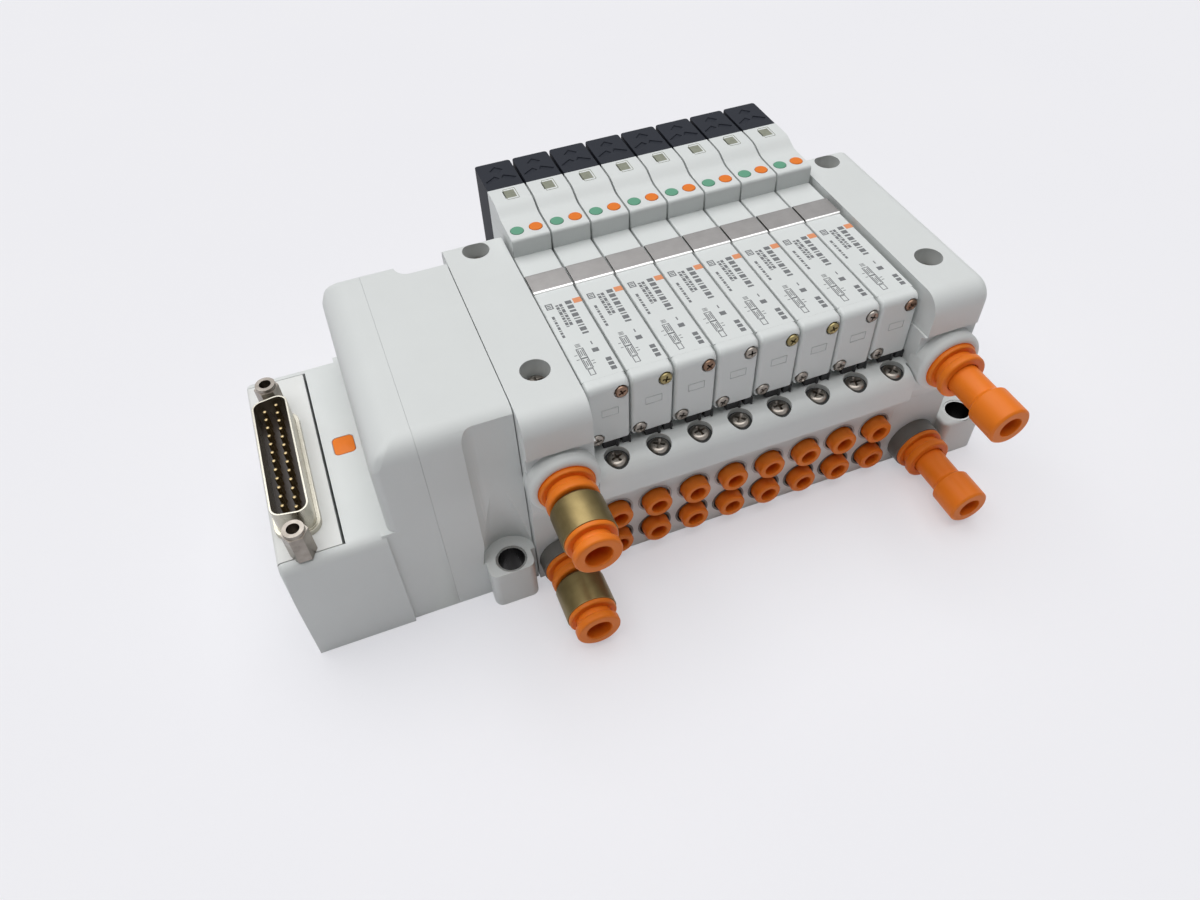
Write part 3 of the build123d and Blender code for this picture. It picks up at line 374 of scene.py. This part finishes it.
# %% Dress the CAD nodes
WELD_GAP = 0.002
FLAT_ANGLE = math.radians(0.6)
SHARP_ANGLE = math.radians(40)
SPLIT_ANGLE = math.radians(50)
FINISHES = {
    "manifold_base": (case_resin, 0.15),
    "left_end_block": (case_resin, 0.18),
    "right_end_block": (case_resin, 0.18),
    "junction_block": (case_resin, 0.18),
    "connector_housing": (case_resin, 0.18),
    "connector_panel": (panel_resin, 0.0),
    "dsub_shell": (shell_plate, 0.08),
    "dsub_insulator": (insulator_resin, 0.0),
    "contact_pins": (gold_plate, 0.0),
    "jackscrews": (nickel, 0.12),
    "mounting_bushes": (bush_steel, 0.12),
    "valve_bodies": (valve_resin, 0.0),
    "valve_covers": (valve_resin, 0.10),
    "retainer_plates": (strip_steel, 0.0),
    "pilot_covers": (valve_resin, 0.12),
    "pilot_caps": (cap_resin, 0.10),
    "lamp_windows": (lamp_resin, 0.08),
    "machine_screws": (nickel, 0.0),
    "port_cartridges": (fitting_resin, 0.10),
    "port_guides": (orange_acetal, 0.0),
    "brass_adaptors": (brass, 0.12),
    "port_plugs": (orange_acetal, 0.12),
}


def dress(node, material, edge):
    """Material, smooth shading and rounded edges for one CAD node."""
    node.data.materials.clear()
    node.data.materials.append(material)
    for face in node.data.polygons:
        face.use_smooth = True
    weld = node.modifiers.new("weld", "WELD")
    weld.merge_threshold = WELD_GAP * MM
    flat = node.modifiers.new("flat sides", "DECIMATE")
    flat.decimate_type = "DISSOLVE"
    flat.angle_limit = FLAT_ANGLE
    if edge:
        bevel = node.modifiers.new("soft edges", "BEVEL")
        bevel.width = edge * MM
        bevel.segments = 2
        bevel.limit_method = "ANGLE"
        bevel.angle_limit = SHARP_ANGLE
    split = node.modifiers.new("sharp edges", "EDGE_SPLIT")
    split.split_angle = SPLIT_ANGLE
    even = node.modifiers.new("even flats", "WEIGHTED_NORMAL")
    even.keep_sharp = True


for name in nodes:
    moving = (green_acetal if "green" in name else orange_acetal, 0.0)
    dress(nodes[name], *FINISHES.get(name, moving))
print("dressed", len(nodes), "nodes")

# %% [markdown]
# ## Tools for shapes
# Every new piece starts as a plain block or rod of its real size. Faces and edges are then
# picked by where they point and where they lie, as a hand would click them, and the usual edit
# tools work on them. A Boolean takes one piece out of another. Sizes are in millimetres: X along
# the row, depth from the front mounting holes towards the back, and Z up.


# %% Helpers for shapes
def deselect_all():
    """Nothing selected, so that the next operator acts on the new piece alone."""
    bpy.ops.object.select_all(action="DESELECT")


def select_only(piece):
    """The piece selected and active, and nothing else."""
    deselect_all()
    piece.select_set(True)
    bpy.context.view_layer.objects.active = piece


def block(x0, x1, depth0, depth1, z0, z1, turn=0.0):
    """A plain block between two corners, turned about its own upright axis."""
    deselect_all()
    middle = Vector(((x0 + x1) / 2, (depth0 + depth1) / 2 - ORIGIN_DEPTH, (z0 + z1) / 2)) * MM
    bpy.ops.mesh.primitive_cube_add(size=MM, location=middle, rotation=(0, 0, turn))
    piece = bpy.context.object
    piece.scale = (x1 - x0, depth1 - depth0, z1 - z0)
    bpy.ops.object.transform_apply(location=True, rotation=True, scale=True)
    return piece


def rod(radius, x, depth, z0, z1, top_radius=None, vertices=64):
    """Upright rod or cone."""
    deselect_all()
    bpy.ops.mesh.primitive_cone_add(
        vertices=vertices, radius1=radius * MM, radius2=(radius if top_radius is None else top_radius) * MM,
        depth=(z1 - z0) * MM, location=Vector((x, depth - ORIGIN_DEPTH, (z0 + z1) / 2)) * MM)
    bpy.ops.object.transform_apply(location=True, rotation=True, scale=True)
    return bpy.context.object


def pick(piece, kind, test):
    """Goes into edit mode and selects what passes a test on its normal or direction and its middle."""
    select_only(piece)
    bpy.ops.object.mode_set(mode="EDIT")
    bpy.ops.mesh.select_mode(type=kind)
    bpy.ops.mesh.select_all(action="DESELECT")
    mesh = bmesh.from_edit_mesh(piece.data)
    if kind == "FACE":
        found = [(face, face.normal, face.calc_center_median()) for face in mesh.faces]
    else:
        found = [(edge, (edge.verts[1].co - edge.verts[0].co).normalized(),
                  (edge.verts[0].co + edge.verts[1].co) / 2) for edge in mesh.edges]
    for element, way, middle in found:
        if test(way, middle / MM):
            element.select_set(True)
    bmesh.update_edit_mesh(piece.data)


def cut(piece, tool, operation="DIFFERENCE"):
    """Cuts the tool out of the piece, or adds it, and deletes the tool."""
    hole = piece.modifiers.new("recess", "BOOLEAN")
    hole.object = tool
    hole.operation = operation
    bpy.context.view_layer.objects.active = piece
    bpy.ops.object.modifier_apply(modifier=hole.name)
    bpy.data.objects.remove(tool)


def smooth(piece, angle):
    """Smooth shading up to this angle in degrees, and sharp edges past it."""
    select_only(piece)
    bpy.ops.object.shade_smooth_by_angle(angle=math.radians(angle))


print("seven helpers for shapes")

# %% [markdown]
# ## Cross-recessed screws
# The valves' front covers, the ledge and the end blocks are held by pan head screws with a cross
# recess. One screw is a short cylinder, its top edge bevelled into a dome, its foot inset and
# extruded into the shank. The cross is cut with two tapered bars and a Boolean, as the punch of
# the screw factory does.

# %% One screw
HEAD_HEIGHT = 1.5
TALL_HEAD = 4.6
PUNCH_TAPER = 0.55
SCREW_SIDES = 40
SCREW_SMOOTH = 32


def punch_bar(head, top, turn):
    """One tapered bar of the punch, its top just above the screw's head."""
    length, width, depth = 1.3 * head, 0.27 * head, 0.75 * HEAD_HEIGHT
    bar = block(-length / 2, length / 2, ORIGIN_DEPTH - width / 2, ORIGIN_DEPTH + width / 2,
                top + 0.1 - depth, top + 0.1, turn)
    pick(bar, "FACE", lambda way, middle: way.z < -0.5)
    bpy.ops.transform.resize(value=(PUNCH_TAPER, PUNCH_TAPER, 1))
    bpy.ops.object.mode_set(mode="OBJECT")
    return bar


def screw(head, shank_length, height=HEAD_HEIGHT, dome=0.42):
    """Pan head screw at the origin, the foot of its head at Z = 0 and its shank below."""
    piece = rod(head, 0, ORIGIN_DEPTH, 0, height, vertices=SCREW_SIDES)
    pick(piece, "FACE", lambda way, middle: way.z > 0.5)
    bpy.ops.mesh.bevel(offset=dome * head * MM, segments=5, affect="EDGES")
    bpy.ops.object.mode_set(mode="OBJECT")
    pick(piece, "FACE", lambda way, middle: way.z < -0.5)
    bpy.ops.mesh.inset(thickness=0.5 * head * MM)
    bpy.ops.mesh.extrude_region_move(TRANSFORM_OT_translate={"value": (0, 0, -shank_length * MM)})
    bpy.ops.object.mode_set(mode="OBJECT")
    for turn in (0, math.pi / 2):
        cut(piece, punch_bar(head, height, turn))
    smooth(piece, SCREW_SMOOTH)
    return piece


cover_screw = screw(1.52, 6.0, 1.2, 0.3)
ledge_screw = screw(2.4, 7.0, 1.35)
block_screw = screw(2.6, 4.5, TALL_HEAD)
print("three screws, faces:", [len(one.data.polygons) for one in (cover_screw, ledge_screw, block_screw)])

# %% [markdown]
# ## Screws in their places
# A screw is copied to each of its places and the copies are joined, so that one object holds one
# kind. The cover screws have three platings, because the real ones come from different batches,
# and each cross stands at an angle of its own, as hands leave them.

# %% Copies, places and hand-over
STATIONS = 8
PITCH = 10.5


def station_x(index):
    """Middle of one valve along the row."""
    return PITCH * (index - (STATIONS - 1) / 2)


def place(x, depth, z, turn=0.0, facing=Matrix.Identity(4)):
    """Matrix that carries a piece from the origin to its place, turned about its own axis."""
    move = Matrix.Translation(Vector((x, depth - ORIGIN_DEPTH, z)) * MM)
    return move @ facing @ Matrix.Rotation(turn, 4, "Z")


def join(pieces):
    """Several pieces as one object."""
    select_only(pieces[0])
    for piece in pieces:
        piece.select_set(True)
    if len(pieces) > 1:
        bpy.ops.object.join()
    return pieces[0]


def copies(model, places, spent=True):
    """One object from copies of the model, each with its own mesh. A spent model is deleted."""
    made = []
    for matrix in places:
        twin = model.copy()
        twin.data = model.data.copy()
        twin.data.transform(matrix)
        bpy.context.collection.objects.link(twin)
        made.append(twin)
    if spent:
        bpy.data.objects.remove(model)
    return join(made)


def hand_over(piece, name, material, slot, *replaced):
    """Names the piece, gives it its material, hangs it under the root body and hides the CAD nodes it stands
    for.
    """
    piece.name = name
    piece.data.materials.clear()
    piece.data.materials.append(material)
    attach(piece, "root")
    if replaced:
        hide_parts(*replaced)


ROW = [Matrix.Translation((station_x(index) * MM, 0, 0)) for index in range(STATIONS)]
print("row from", station_x(0), "to", station_x(STATIONS - 1), "mm")

# %% Screws
TOWARDS_FRONT = Matrix.Rotation(math.pi / 2, 4, "X")
COVER_SEAT = 3.35
UPPER_SCREW = (3.05, 55.7, 0.5, 0.9)  # from the valve's middle, height, first turn, next turn
LOWER_SCREW = (-3.05, 42.4, 0.2, 1.3)
LEDGE_OFFSET = 0.56
LEDGE_SEAT = 36.6
BLOCK_SEAT = 52
BLOCK_SCREWS = ((-50, 12.1), (-50, 59.0), (50, 12.1), (50, 59.0))
COVER_PLATING = ("bronze", "yellow", "bronze", "nickel", "yellow", "yellow", "nickel", "bronze")
PLATINGS = {"nickel": nickel, "bronze": bronze_plate, "yellow": yellow_plate}


def cover_spot(index, offset, z, first_turn, next_turn):
    """Place of one cover screw."""
    return place(station_x(index) + offset, COVER_SEAT, z, first_turn + next_turn * index, TOWARDS_FRONT)


for plating, material in PLATINGS.items():
    spots = [cover_spot(i, *UPPER_SCREW) for i in range(STATIONS) if COVER_PLATING[i] == plating]
    if plating == "nickel":
        spots += [cover_spot(i, *LOWER_SCREW) for i in range(STATIONS)]
    heads = copies(cover_screw, spots, spent=False)
    hand_over(heads, f"cover_screws_{plating}", material, "nickel", "machine_screws")
bpy.data.objects.remove(cover_screw)
ledge_spots = [place(station_x(i) + LEDGE_OFFSET, 0, LEDGE_SEAT, 0.3 + 0.7 * i) for i in range(STATIONS)]
block_spots = [place(x, depth, BLOCK_SEAT, 0.4 + x * depth) for x, depth in BLOCK_SCREWS]
hand_over(copies(ledge_screw, ledge_spots), "ledge_screws", nickel, "nickel", "machine_screws")
hand_over(copies(block_screw, block_spots), "block_screws", nickel, "nickel", "machine_screws")
print("28 screws in five objects")

# %% [markdown]
# ## Painted shade round the ledge screws
# Each ledge screw sits in a shallow well, and the gap round its head shows as a dark ring of
# shade. A flat black ring at the bottom of the well stands for that shade as painted shade: a
# disc with a hole through it, cut by a Boolean.

# %% Shade rings
SHADE_RING_INNER = 2.35
SHADE_RING_OUTER = 2.98
SHADE_RING_HEIGHT = 0.25

shade_ring = rod(SHADE_RING_OUTER, 0, ORIGIN_DEPTH, 0, SHADE_RING_HEIGHT, vertices=SCREW_SIDES)
cut(shade_ring, rod(SHADE_RING_INNER, 0, ORIGIN_DEPTH, -2 * SHADE_RING_HEIGHT, 2 * SHADE_RING_HEIGHT, vertices=SCREW_SIDES))
smooth(shade_ring, SCREW_SMOOTH)
# Each black ring is painted shade for the dark gap round a ledge screw's head.
shade_rings = copies(shade_ring, [place(station_x(i) + LEDGE_OFFSET, 0, LEDGE_SEAT + 0.02) for i in range(STATIONS)])
hand_over(shade_rings, "ledge_screw_shade_rings", gasket_rubber, "black_plastic")
print("eight seats")

# %% [markdown]
# ## Gaskets under the valves
# Each valve stands on a rubber gasket. Its front edge shows as a dark line between the valve and
# the ledge, broken once under each valve where the manifold has a rib. A block is bevelled so
# that it bulges like squeezed rubber, and its right end is extruded forwards into a small tab.

# %% Gaskets
GASKET_DEPTHS = (3.1, 5.5)
GASKET_BOTTOM = 38.25
GASKET_TOP = 40.65
TAB_REACH = 0.5


def bevel_all(piece, width, segments, **limit):
    """Bevel modifier, applied at once."""
    soft = piece.modifiers.new("soft edges", "BEVEL")
    soft.width = width * MM
    soft.segments = segments
    for key, value in limit.items():
        setattr(soft, key, value)
    bpy.context.view_layer.objects.active = piece
    bpy.ops.object.modifier_apply(modifier=soft.name)


def gasket_strip(x0, x1, tab):
    """One visible stretch of gasket, counted from the middle of its valve."""
    strip = block(x0, x1, *GASKET_DEPTHS, GASKET_BOTTOM, GASKET_TOP)
    pick(strip, "FACE", lambda way, middle: True)
    bpy.ops.mesh.bisect(plane_co=((x1 - tab) * MM, 0, 0), plane_no=(1, 0, 0))
    bpy.ops.object.mode_set(mode="OBJECT")
    pick(strip, "FACE", lambda way, middle: way.y < -0.5 and middle.x > x1 - tab)
    bpy.ops.mesh.extrude_region_move(TRANSFORM_OT_translate={"value": (0, -TAB_REACH * MM, 0)})
    bpy.ops.object.mode_set(mode="OBJECT")
    bevel_all(strip, 0.25, 3)
    smooth(strip, 35)
    return strip


hand_over(copies(gasket_strip(-1.5, 2.2, 0.7), ROW), "gasket_strips", gasket_rubber, "black_plastic")
hand_over(copies(gasket_strip(3.2, 5.25, 0.5), ROW), "gasket_corners", gasket_rubber, "black_plastic")
print("sixteen stretches of gasket")

# %% [markdown]
# ## Rounded mouldings
# The tall blocks have large soft edges, corners set back over the feet and a jog where the low
# box meets the tall step. A block's chosen edges are bevelled first, some with a weight so that
# one bevel gives edges of different radius. Cutters of the same kind take corners away, and a
# last narrow bevel takes the sharpness off the rest.

# %% Helpers for mouldings
def round_edges(piece, width, segments, test):
    """Bevels the edges that pass the test."""
    pick(piece, "EDGE", test)
    bpy.ops.mesh.bevel(offset=width * MM, segments=segments, affect="EDGES")
    bpy.ops.object.mode_set(mode="OBJECT")


def weigh_edges(piece, weight, test):
    """Gives the edges that pass the test a bevel weight."""
    pick(piece, "EDGE", test)
    bpy.ops.transform.edge_bevelweight(value=weight)
    bpy.ops.object.mode_set(mode="OBJECT")


def finish_moulding(piece, edge):
    """A last narrow bevel on what is still sharp, and even shading."""
    bevel_all(piece, edge, 2, limit_method="ANGLE", angle_limit=SHARP_ANGLE)
    smooth(piece, 35)
    even = piece.modifiers.new("even flats", "WEIGHTED_NORMAL")
    even.keep_sharp = True
    bpy.ops.object.modifier_apply(modifier=even.name)


def upright(way, middle):
    """Test for edges that stand up."""
    return abs(way.z) > 0.9


print("three helpers for mouldings")

# %% [markdown]
# ## Connector housing
# The housing is a low box with the connector on it and a tall step beside it. The step leans: the
# top edge on its left is moved towards the right before it is rounded. The panel and the orange
# marker lie in shallow pockets, and a dark slit runs along the panel's right side.

# %% Tall step
LEFT_END = -114.4
STEP_X = -90.7
SEAM_X = -79.2
JOINT_GAP = 0.02
WALL_FRONT = 0.9
BODY_BACK = 63.5
BLOCK_HEIGHT = 60.0
HOUSING_HEIGHT = 35.0
STEP_LEAN = 1.2
STEP_ROUND = 7.0

step = block(STEP_X, SEAM_X - JOINT_GAP, WALL_FRONT, BODY_BACK, 0, BLOCK_HEIGHT)
pick(step, "EDGE", lambda way, middle: abs(way.y) > 0.9 and middle.z > BLOCK_HEIGHT - 0.1
     and middle.x < STEP_X + 0.1)
bpy.ops.transform.translate(value=(STEP_LEAN * MM, 0, 0))
bpy.ops.object.mode_set(mode="OBJECT")
weigh_edges(step, 1.0, lambda way, middle: abs(way.y) > 0.9 and middle.z > BLOCK_HEIGHT - 0.1
            and middle.x < STEP_X + 2)
weigh_edges(step, 0.72, lambda way, middle: abs(way.x) > 0.9 and middle.z > BLOCK_HEIGHT - 0.1)
weigh_edges(step, 0.3, lambda way, middle: upright(way, middle) and middle.x < STEP_X + 1.5)
bevel_all(step, STEP_ROUND, 10, limit_method="WEIGHT")
print("step", [round(v / MM, 1) for v in step.dimensions])

# %% Low box, panel and pockets
PANEL_RIGHT = -100.0
PANEL_DEPTHS = (2.2, 60.42)
PANEL_FLOOR = 33.2
SLIT_RIGHT = -99.35
SLIT_FLOOR = 26
MARKER_POCKET = (-97.05, -91.75, 28.4, 34.4)
ABOVE_HOUSING = HOUSING_HEIGHT + 1

housing = block(LEFT_END, STEP_X, 0, BODY_BACK, 0, HOUSING_HEIGHT)
round_edges(housing, 3.0, 8, lambda way, middle: abs(way.x) > 0.9 and middle.z > HOUSING_HEIGHT - 0.1)
round_edges(housing, 1.3, 4, lambda way, middle: middle.x < LEFT_END + 0.01
            and middle.z > HOUSING_HEIGHT - 3.1)
cut(housing, step, "UNION")
cut(housing, block(STEP_X - 1, SEAM_X - JOINT_GAP, WALL_FRONT, BODY_BACK, 0, HOUSING_HEIGHT), "UNION")
cut(housing, block(LEFT_END - 1, PANEL_RIGHT, *PANEL_DEPTHS, PANEL_FLOOR, ABOVE_HOUSING))
cut(housing, block(PANEL_RIGHT - JOINT_GAP, SLIT_RIGHT, *PANEL_DEPTHS, SLIT_FLOOR, ABOVE_HOUSING))
pocket = block(*MARKER_POCKET, 34.2, ABOVE_HOUSING)
round_edges(pocket, 1.2, 6, upright)
cut(housing, pocket)
finish_moulding(housing, 0.12)
hand_over(housing, "housing_moulding", case_resin, "case_grey", "connector_housing")
panel = block(LEFT_END + 0.05, PANEL_RIGHT, 2.45, 60.4, PANEL_FLOOR, 34.9)
round_edges(panel, 0.9, 4,
            lambda way, middle: abs(way.y) > 0.9 and middle.x < LEFT_END + 0.1 and middle.z > 34.8)
finish_moulding(panel, 0.1)
hand_over(panel, "panel_plate", panel_resin, "panel_white", "connector_panel")
print("housing", [round(v / MM, 1) for v in housing.dimensions])

# %% [markdown]
# ## Junction block
# Between the housing and the valves stands the block with the left pair of feet. Its front and
# rear corners are set back above the feet, and a scooped relief over the front foot leaves room
# for the screwdriver. The relief is a cone, cut where the screw goes down.

# %% Junction block
BLOCK_RIGHT = -58.2
SET_BACK_X = -70.7
FOOT_RIGHT = -59.4
FOOT_X = 64.5
FOOT_HEIGHT = 12.6
FRONT_HOLE, REAR_HOLE = 0.0, 62.0
FRONT_WALL, REAR_WALL = 2.6, 56.5
RELIEF_TOP = 46.0

junction = block(SEAM_X + JOINT_GAP, BLOCK_RIGHT, WALL_FRONT, BODY_BACK, 0, BLOCK_HEIGHT)
round_edges(junction, 5.04, 10, lambda way, middle: abs(way.x) > 0.9 and middle.z > BLOCK_HEIGHT - 0.1)
for depth0, depth1, wall in ((-5.0, FRONT_WALL, FRONT_WALL), (REAR_WALL, 68.0, REAR_WALL)):
    corner = block(SET_BACK_X, -57.0, depth0, depth1, FOOT_HEIGHT, BLOCK_HEIGHT + 1)
    round_edges(corner, 3.5, 8, lambda way, middle: upright(way, middle) and middle.x < SET_BACK_X + 0.1
                and abs(middle.y + ORIGIN_DEPTH - wall) < 0.1)
    cut(junction, corner)
cut(junction, rod(6.9, -FOOT_X, FRONT_HOLE, FOOT_HEIGHT, RELIEF_TOP, 1.3))
for depth0, depth1, reach, hole in ((-4.0, 9.0, -4.0, FRONT_HOLE), (53.0, 66.0, 66.0, REAR_HOLE)):
    lug = block(SET_BACK_X, FOOT_RIGHT, depth0, depth1, 0, FOOT_HEIGHT)
    round_edges(lug, 2.0, 6, lambda way, middle: upright(way, middle)
                and abs(middle.y + ORIGIN_DEPTH - reach) < 0.1)
    cut(junction, lug, "UNION")
    cut(junction, rod(3.87, -FOOT_X, hole, -1, FOOT_HEIGHT + 1))
finish_moulding(junction, 0.15)
hand_over(junction, "junction_moulding", case_resin, "case_grey", "junction_block")
print("junction", [round(v / MM, 1) for v in junction.dimensions])

# %% [markdown]
# ## Bushes in the feet
# A steel bush lines each mounting hole, so that the screw can't crush the resin. It is a thin
# rod with a hole through it, copied to the four feet.

# %% Bushes
bush = rod(3.83, 0, ORIGIN_DEPTH, 0, FOOT_HEIGHT - 0.1)
cut(bush, rod(3.3, 0, ORIGIN_DEPTH, -1, FOOT_HEIGHT + 1))
finish_moulding(bush, 0.06)
bush_places = [place(x, depth, 0) for x in (-FOOT_X, FOOT_X) for depth in (FRONT_HOLE, REAR_HOLE)]
# Their material is painted dark below the rim, as painted shade inside the hole.
hand_over(copies(bush, bush_places), "bush_rings", bush_steel, "steel", "mounting_bushes")
print(len(bush_places), "bushes")

# %% [markdown]
# ## Steel strips, lamp windows and rear caps
# The stainless strip lies proud of the valve and is rolled down at its front. The lamp window is
# inset and its middle pressed down, so it has a raised frame. The cap's top has two slanted
# slots and a square recess on its corner.

# %% Strips
STRIP_TOP = 58.92

strip = block(-5.0, 5.0, 38.1, 45.5, 58.3, STRIP_TOP)
round_edges(strip, 0.42, 5, lambda way, middle: abs(way.x) > 0.9 and middle.z > STRIP_TOP - 0.1)
finish_moulding(strip, 0.07)
# Their material paints the front edge near-white as a painted highlight.
hand_over(copies(strip, ROW), "strip_plates", strip_steel, "steel", "retainer_plates")
print("eight strips")

# %% Lamp windows
CAP_FRONT = 74.5
CAP_TOP = 65.5

window = block(-1.25, 2.05, CAP_FRONT - 5.8, CAP_FRONT - 0.9, CAP_TOP - 0.9, CAP_TOP + 0.1)
round_edges(window, 0.35, 4, upright)
pick(window, "FACE", lambda way, middle: way.z > 0.5)
bpy.ops.mesh.inset(thickness=0.18 * MM)
bpy.ops.transform.translate(value=(0, 0, -0.12 * MM))
bpy.ops.object.mode_set(mode="OBJECT")
finish_moulding(window, 0.06)
hand_over(copies(window, ROW), "window_lenses", lamp_resin, "lamp_window", "lamp_windows")
print("eight lamp windows")

# %% Rear caps
CAP_BACK = CAP_FRONT + 12.8
CAP_BOTTOM = 42
SLOT_TURN = math.radians(35)

cap = block(-4.9, 4.9, CAP_FRONT, CAP_BACK, CAP_BOTTOM, CAP_TOP)
round_edges(cap, 0.8, 4, lambda way, middle: upright(way, middle)
            and middle.y > CAP_BACK - 0.8 - ORIGIN_DEPTH)
for side in (-1, 1):
    cut(cap, block(side * 2.2 - 1.8, side * 2.2 + 1.8, CAP_FRONT + 3.55, CAP_FRONT + 5.25,
                   CAP_TOP - 0.3, CAP_TOP + 1, turn=-side * SLOT_TURN))
cut(cap, block(-1.3, 1.3, CAP_FRONT + 7.5, CAP_FRONT + 10.1, CAP_TOP - 0.3, CAP_TOP + 1,
               turn=math.radians(45)))
finish_moulding(cap, 0.15)
hand_over(copies(cap, ROW), "cap_mouldings", cap_resin, "cap_blue_black", "pilot_caps")
print("eight rear caps")

# %% [markdown]
# ## Marker tile
# An orange tile with round corners is pressed into the shallow pocket in the connector housing.
# Its four upright edges are bevelled first and its top edge last.

# %% Marker tile
TILE_TOP = 35.01

tile = block(-96.88, -91.92, 28.57, 34.23, 34.15, TILE_TOP)
round_edges(tile, 1.1, 6, upright)
round_edges(tile, 0.08, 2, lambda way, middle: abs(way.z) < 0.1 and middle.z > TILE_TOP - 0.01)
smooth(tile, 35)
hand_over(tile, "marker_tile", orange_acetal, "orange")
print("marker tile", [round(v / MM, 2) for v in tile.dimensions])

# %% [markdown]
# ## Print on the valves
# Each valve carries grey print on its top. Here it is plain: rows of short bars, a square and
# the standard symbol of a two-position valve. Pad-printed ink lies about 0.02 mm thick, so each
# mark is a flat plate of about that height with its top edge bevelled like drying ink. One set
# is made from a list of places and copied to the eight valves.

# %% Helpers for print
TOP_OF_VALVE = 58.5
INK_HEIGHT = 0.03


def mark(x0, x1, depth0, depth1):
    """One printed bar on the top of a valve, counted from the valve's middle and from the front."""
    ink = block(x0, x1, depth0, depth1, TOP_OF_VALVE, TOP_OF_VALVE + INK_HEIGHT)
    pick(ink, "FACE", lambda way, middle: way.z > 0.5)
    bpy.ops.mesh.bevel(offset=0.02 * MM, segments=1, affect="EDGES")
    bpy.ops.object.mode_set(mode="OBJECT")
    return ink


def bars(x, width, depth, lengths, gap=0.0):
    """A row of bars that runs towards the front, as a list of marks."""
    made = []
    for length in lengths:
        made.append((x - width / 2, x + width / 2, depth - length, depth))
        depth -= length + gap
    return made


def frame_marks(x0, x1, depth0, depth1, line):
    """Four thin bars round a rectangle."""
    return [(x0, x1, depth0, depth0 + line), (x0, x1, depth1 - line, depth1),
            (x0, x0 + line, depth0 + line, depth1 - line), (x1 - line, x1, depth0 + line, depth1 - line)]


print("ink", INK_HEIGHT, "mm thick")

# %% Printed marks
large_row = bars(1.65, 1.55, 33.1, (1.25, 1.3, 0.75, 1.3, 0.4, 1.25, 0.4, 1.3, 0.6), 0.5)
large_row += bars(1.65, 0.3, 17.6, (1.1,)) + bars(1.65, 1.5, 15.2, (1.3,))
small_rows = bars(-0.35, 0.75, 32.6, (1.0, 0.4, 1.3, 0.3, 0.9, 0.6, 0.4, 1.1), 0.3)
small_rows += bars(-1.3, 0.75, 32.5, (0.5, 0.9, 0.3, 1.2, 0.4, 0.8, 0.5, 1.0, 0.3), 0.3)
small_rows += bars(-3.45, 0.65, 28.9, (1.1, 0.3, 0.8, 0.5, 1.0, 0.4, 0.7, 0.9), 0.32)
square = frame_marks(-3.95, -2.2, 31.5, 33.6, 0.3) + bars(-3.1, 0.9, 33.05, (0.35, 0.35), 0.3)
symbol = frame_marks(-2.5, -0.7, 12.9, 16.3, 0.22) + frame_marks(-2.5, -0.7, 9.3, 12.9, 0.22)
symbol += frame_marks(-2.3, -0.9, 7.1, 9.2, 0.2) + bars(-1.6, 1.2, 17.8, (0.2, 0.2, 0.2), 0.2)
symbol += bars(-2.05, 0.22, 15.9, (2.4,)) + bars(-1.15, 0.22, 15.9, (2.4,)) + bars(-1.6, 0.22, 15.6, (1.9,))
symbol += bars(-2.05, 0.22, 12.4, (2.6,)) + bars(-1.15, 0.22, 12.4, (2.6,)) + bars(-1.6, 0.22, 11.9, (1.7,))
symbol += bars(-3.1, 0.7, 14.4, (0.2, 0.2), 1.3) + bars(-0.1, 0.7, 11.6, (0.2, 0.2), 0.7)
short_row = bars(3.3, 1.3, 11.2, (1.15, 1.05, 1.15), 0.4)
grey_marks = large_row + small_rows + square + symbol + short_row
orange_marks = [(2.85, 4.9, 31.6, 33.4)]
PRINTS = (("valve_print_grey", grey_marks, grey_ink, "dark_grey"),
          ("valve_print_orange", orange_marks, orange_ink, "orange"))
for name, marks, ink, slot in PRINTS:
    one_set = join([mark(*corners) for corners in marks])
    hand_over(copies(one_set, ROW), name, ink, slot)
    print(name, len(marks), "marks on each valve")

# %% [markdown]
# ## Moulded rectangle on the front covers
# Each cover has a faint moulded frame on its front. It is a thin plate whose front is inset and
# whose middle is pushed back into the cover, so that only the frame stands proud. The frame is
# coloured darker than the cover as painted shade, the shade a moulded groove would hold.

# %% Moulded frames
FRAME_LINE = 0.18
PUSH_BACK = 0.22

plate = block(-1.75, 2.25, 2.47, 2.61, 49.35, 51.45)
pick(plate, "FACE", lambda way, middle: way.y < -0.5)
bpy.ops.mesh.inset(thickness=FRAME_LINE * MM)
bpy.ops.transform.translate(value=(0, PUSH_BACK * MM, 0))
bpy.ops.object.mode_set(mode="OBJECT")
# The frames' darker resin is painted shade.
hand_over(copies(plate, ROW), "cover_frames", dull_painted_shade_resin, "valve_white")
print("eight moulded frames")

# %% [markdown]
# ## Last lines

# %% Finish
print("scene finished")
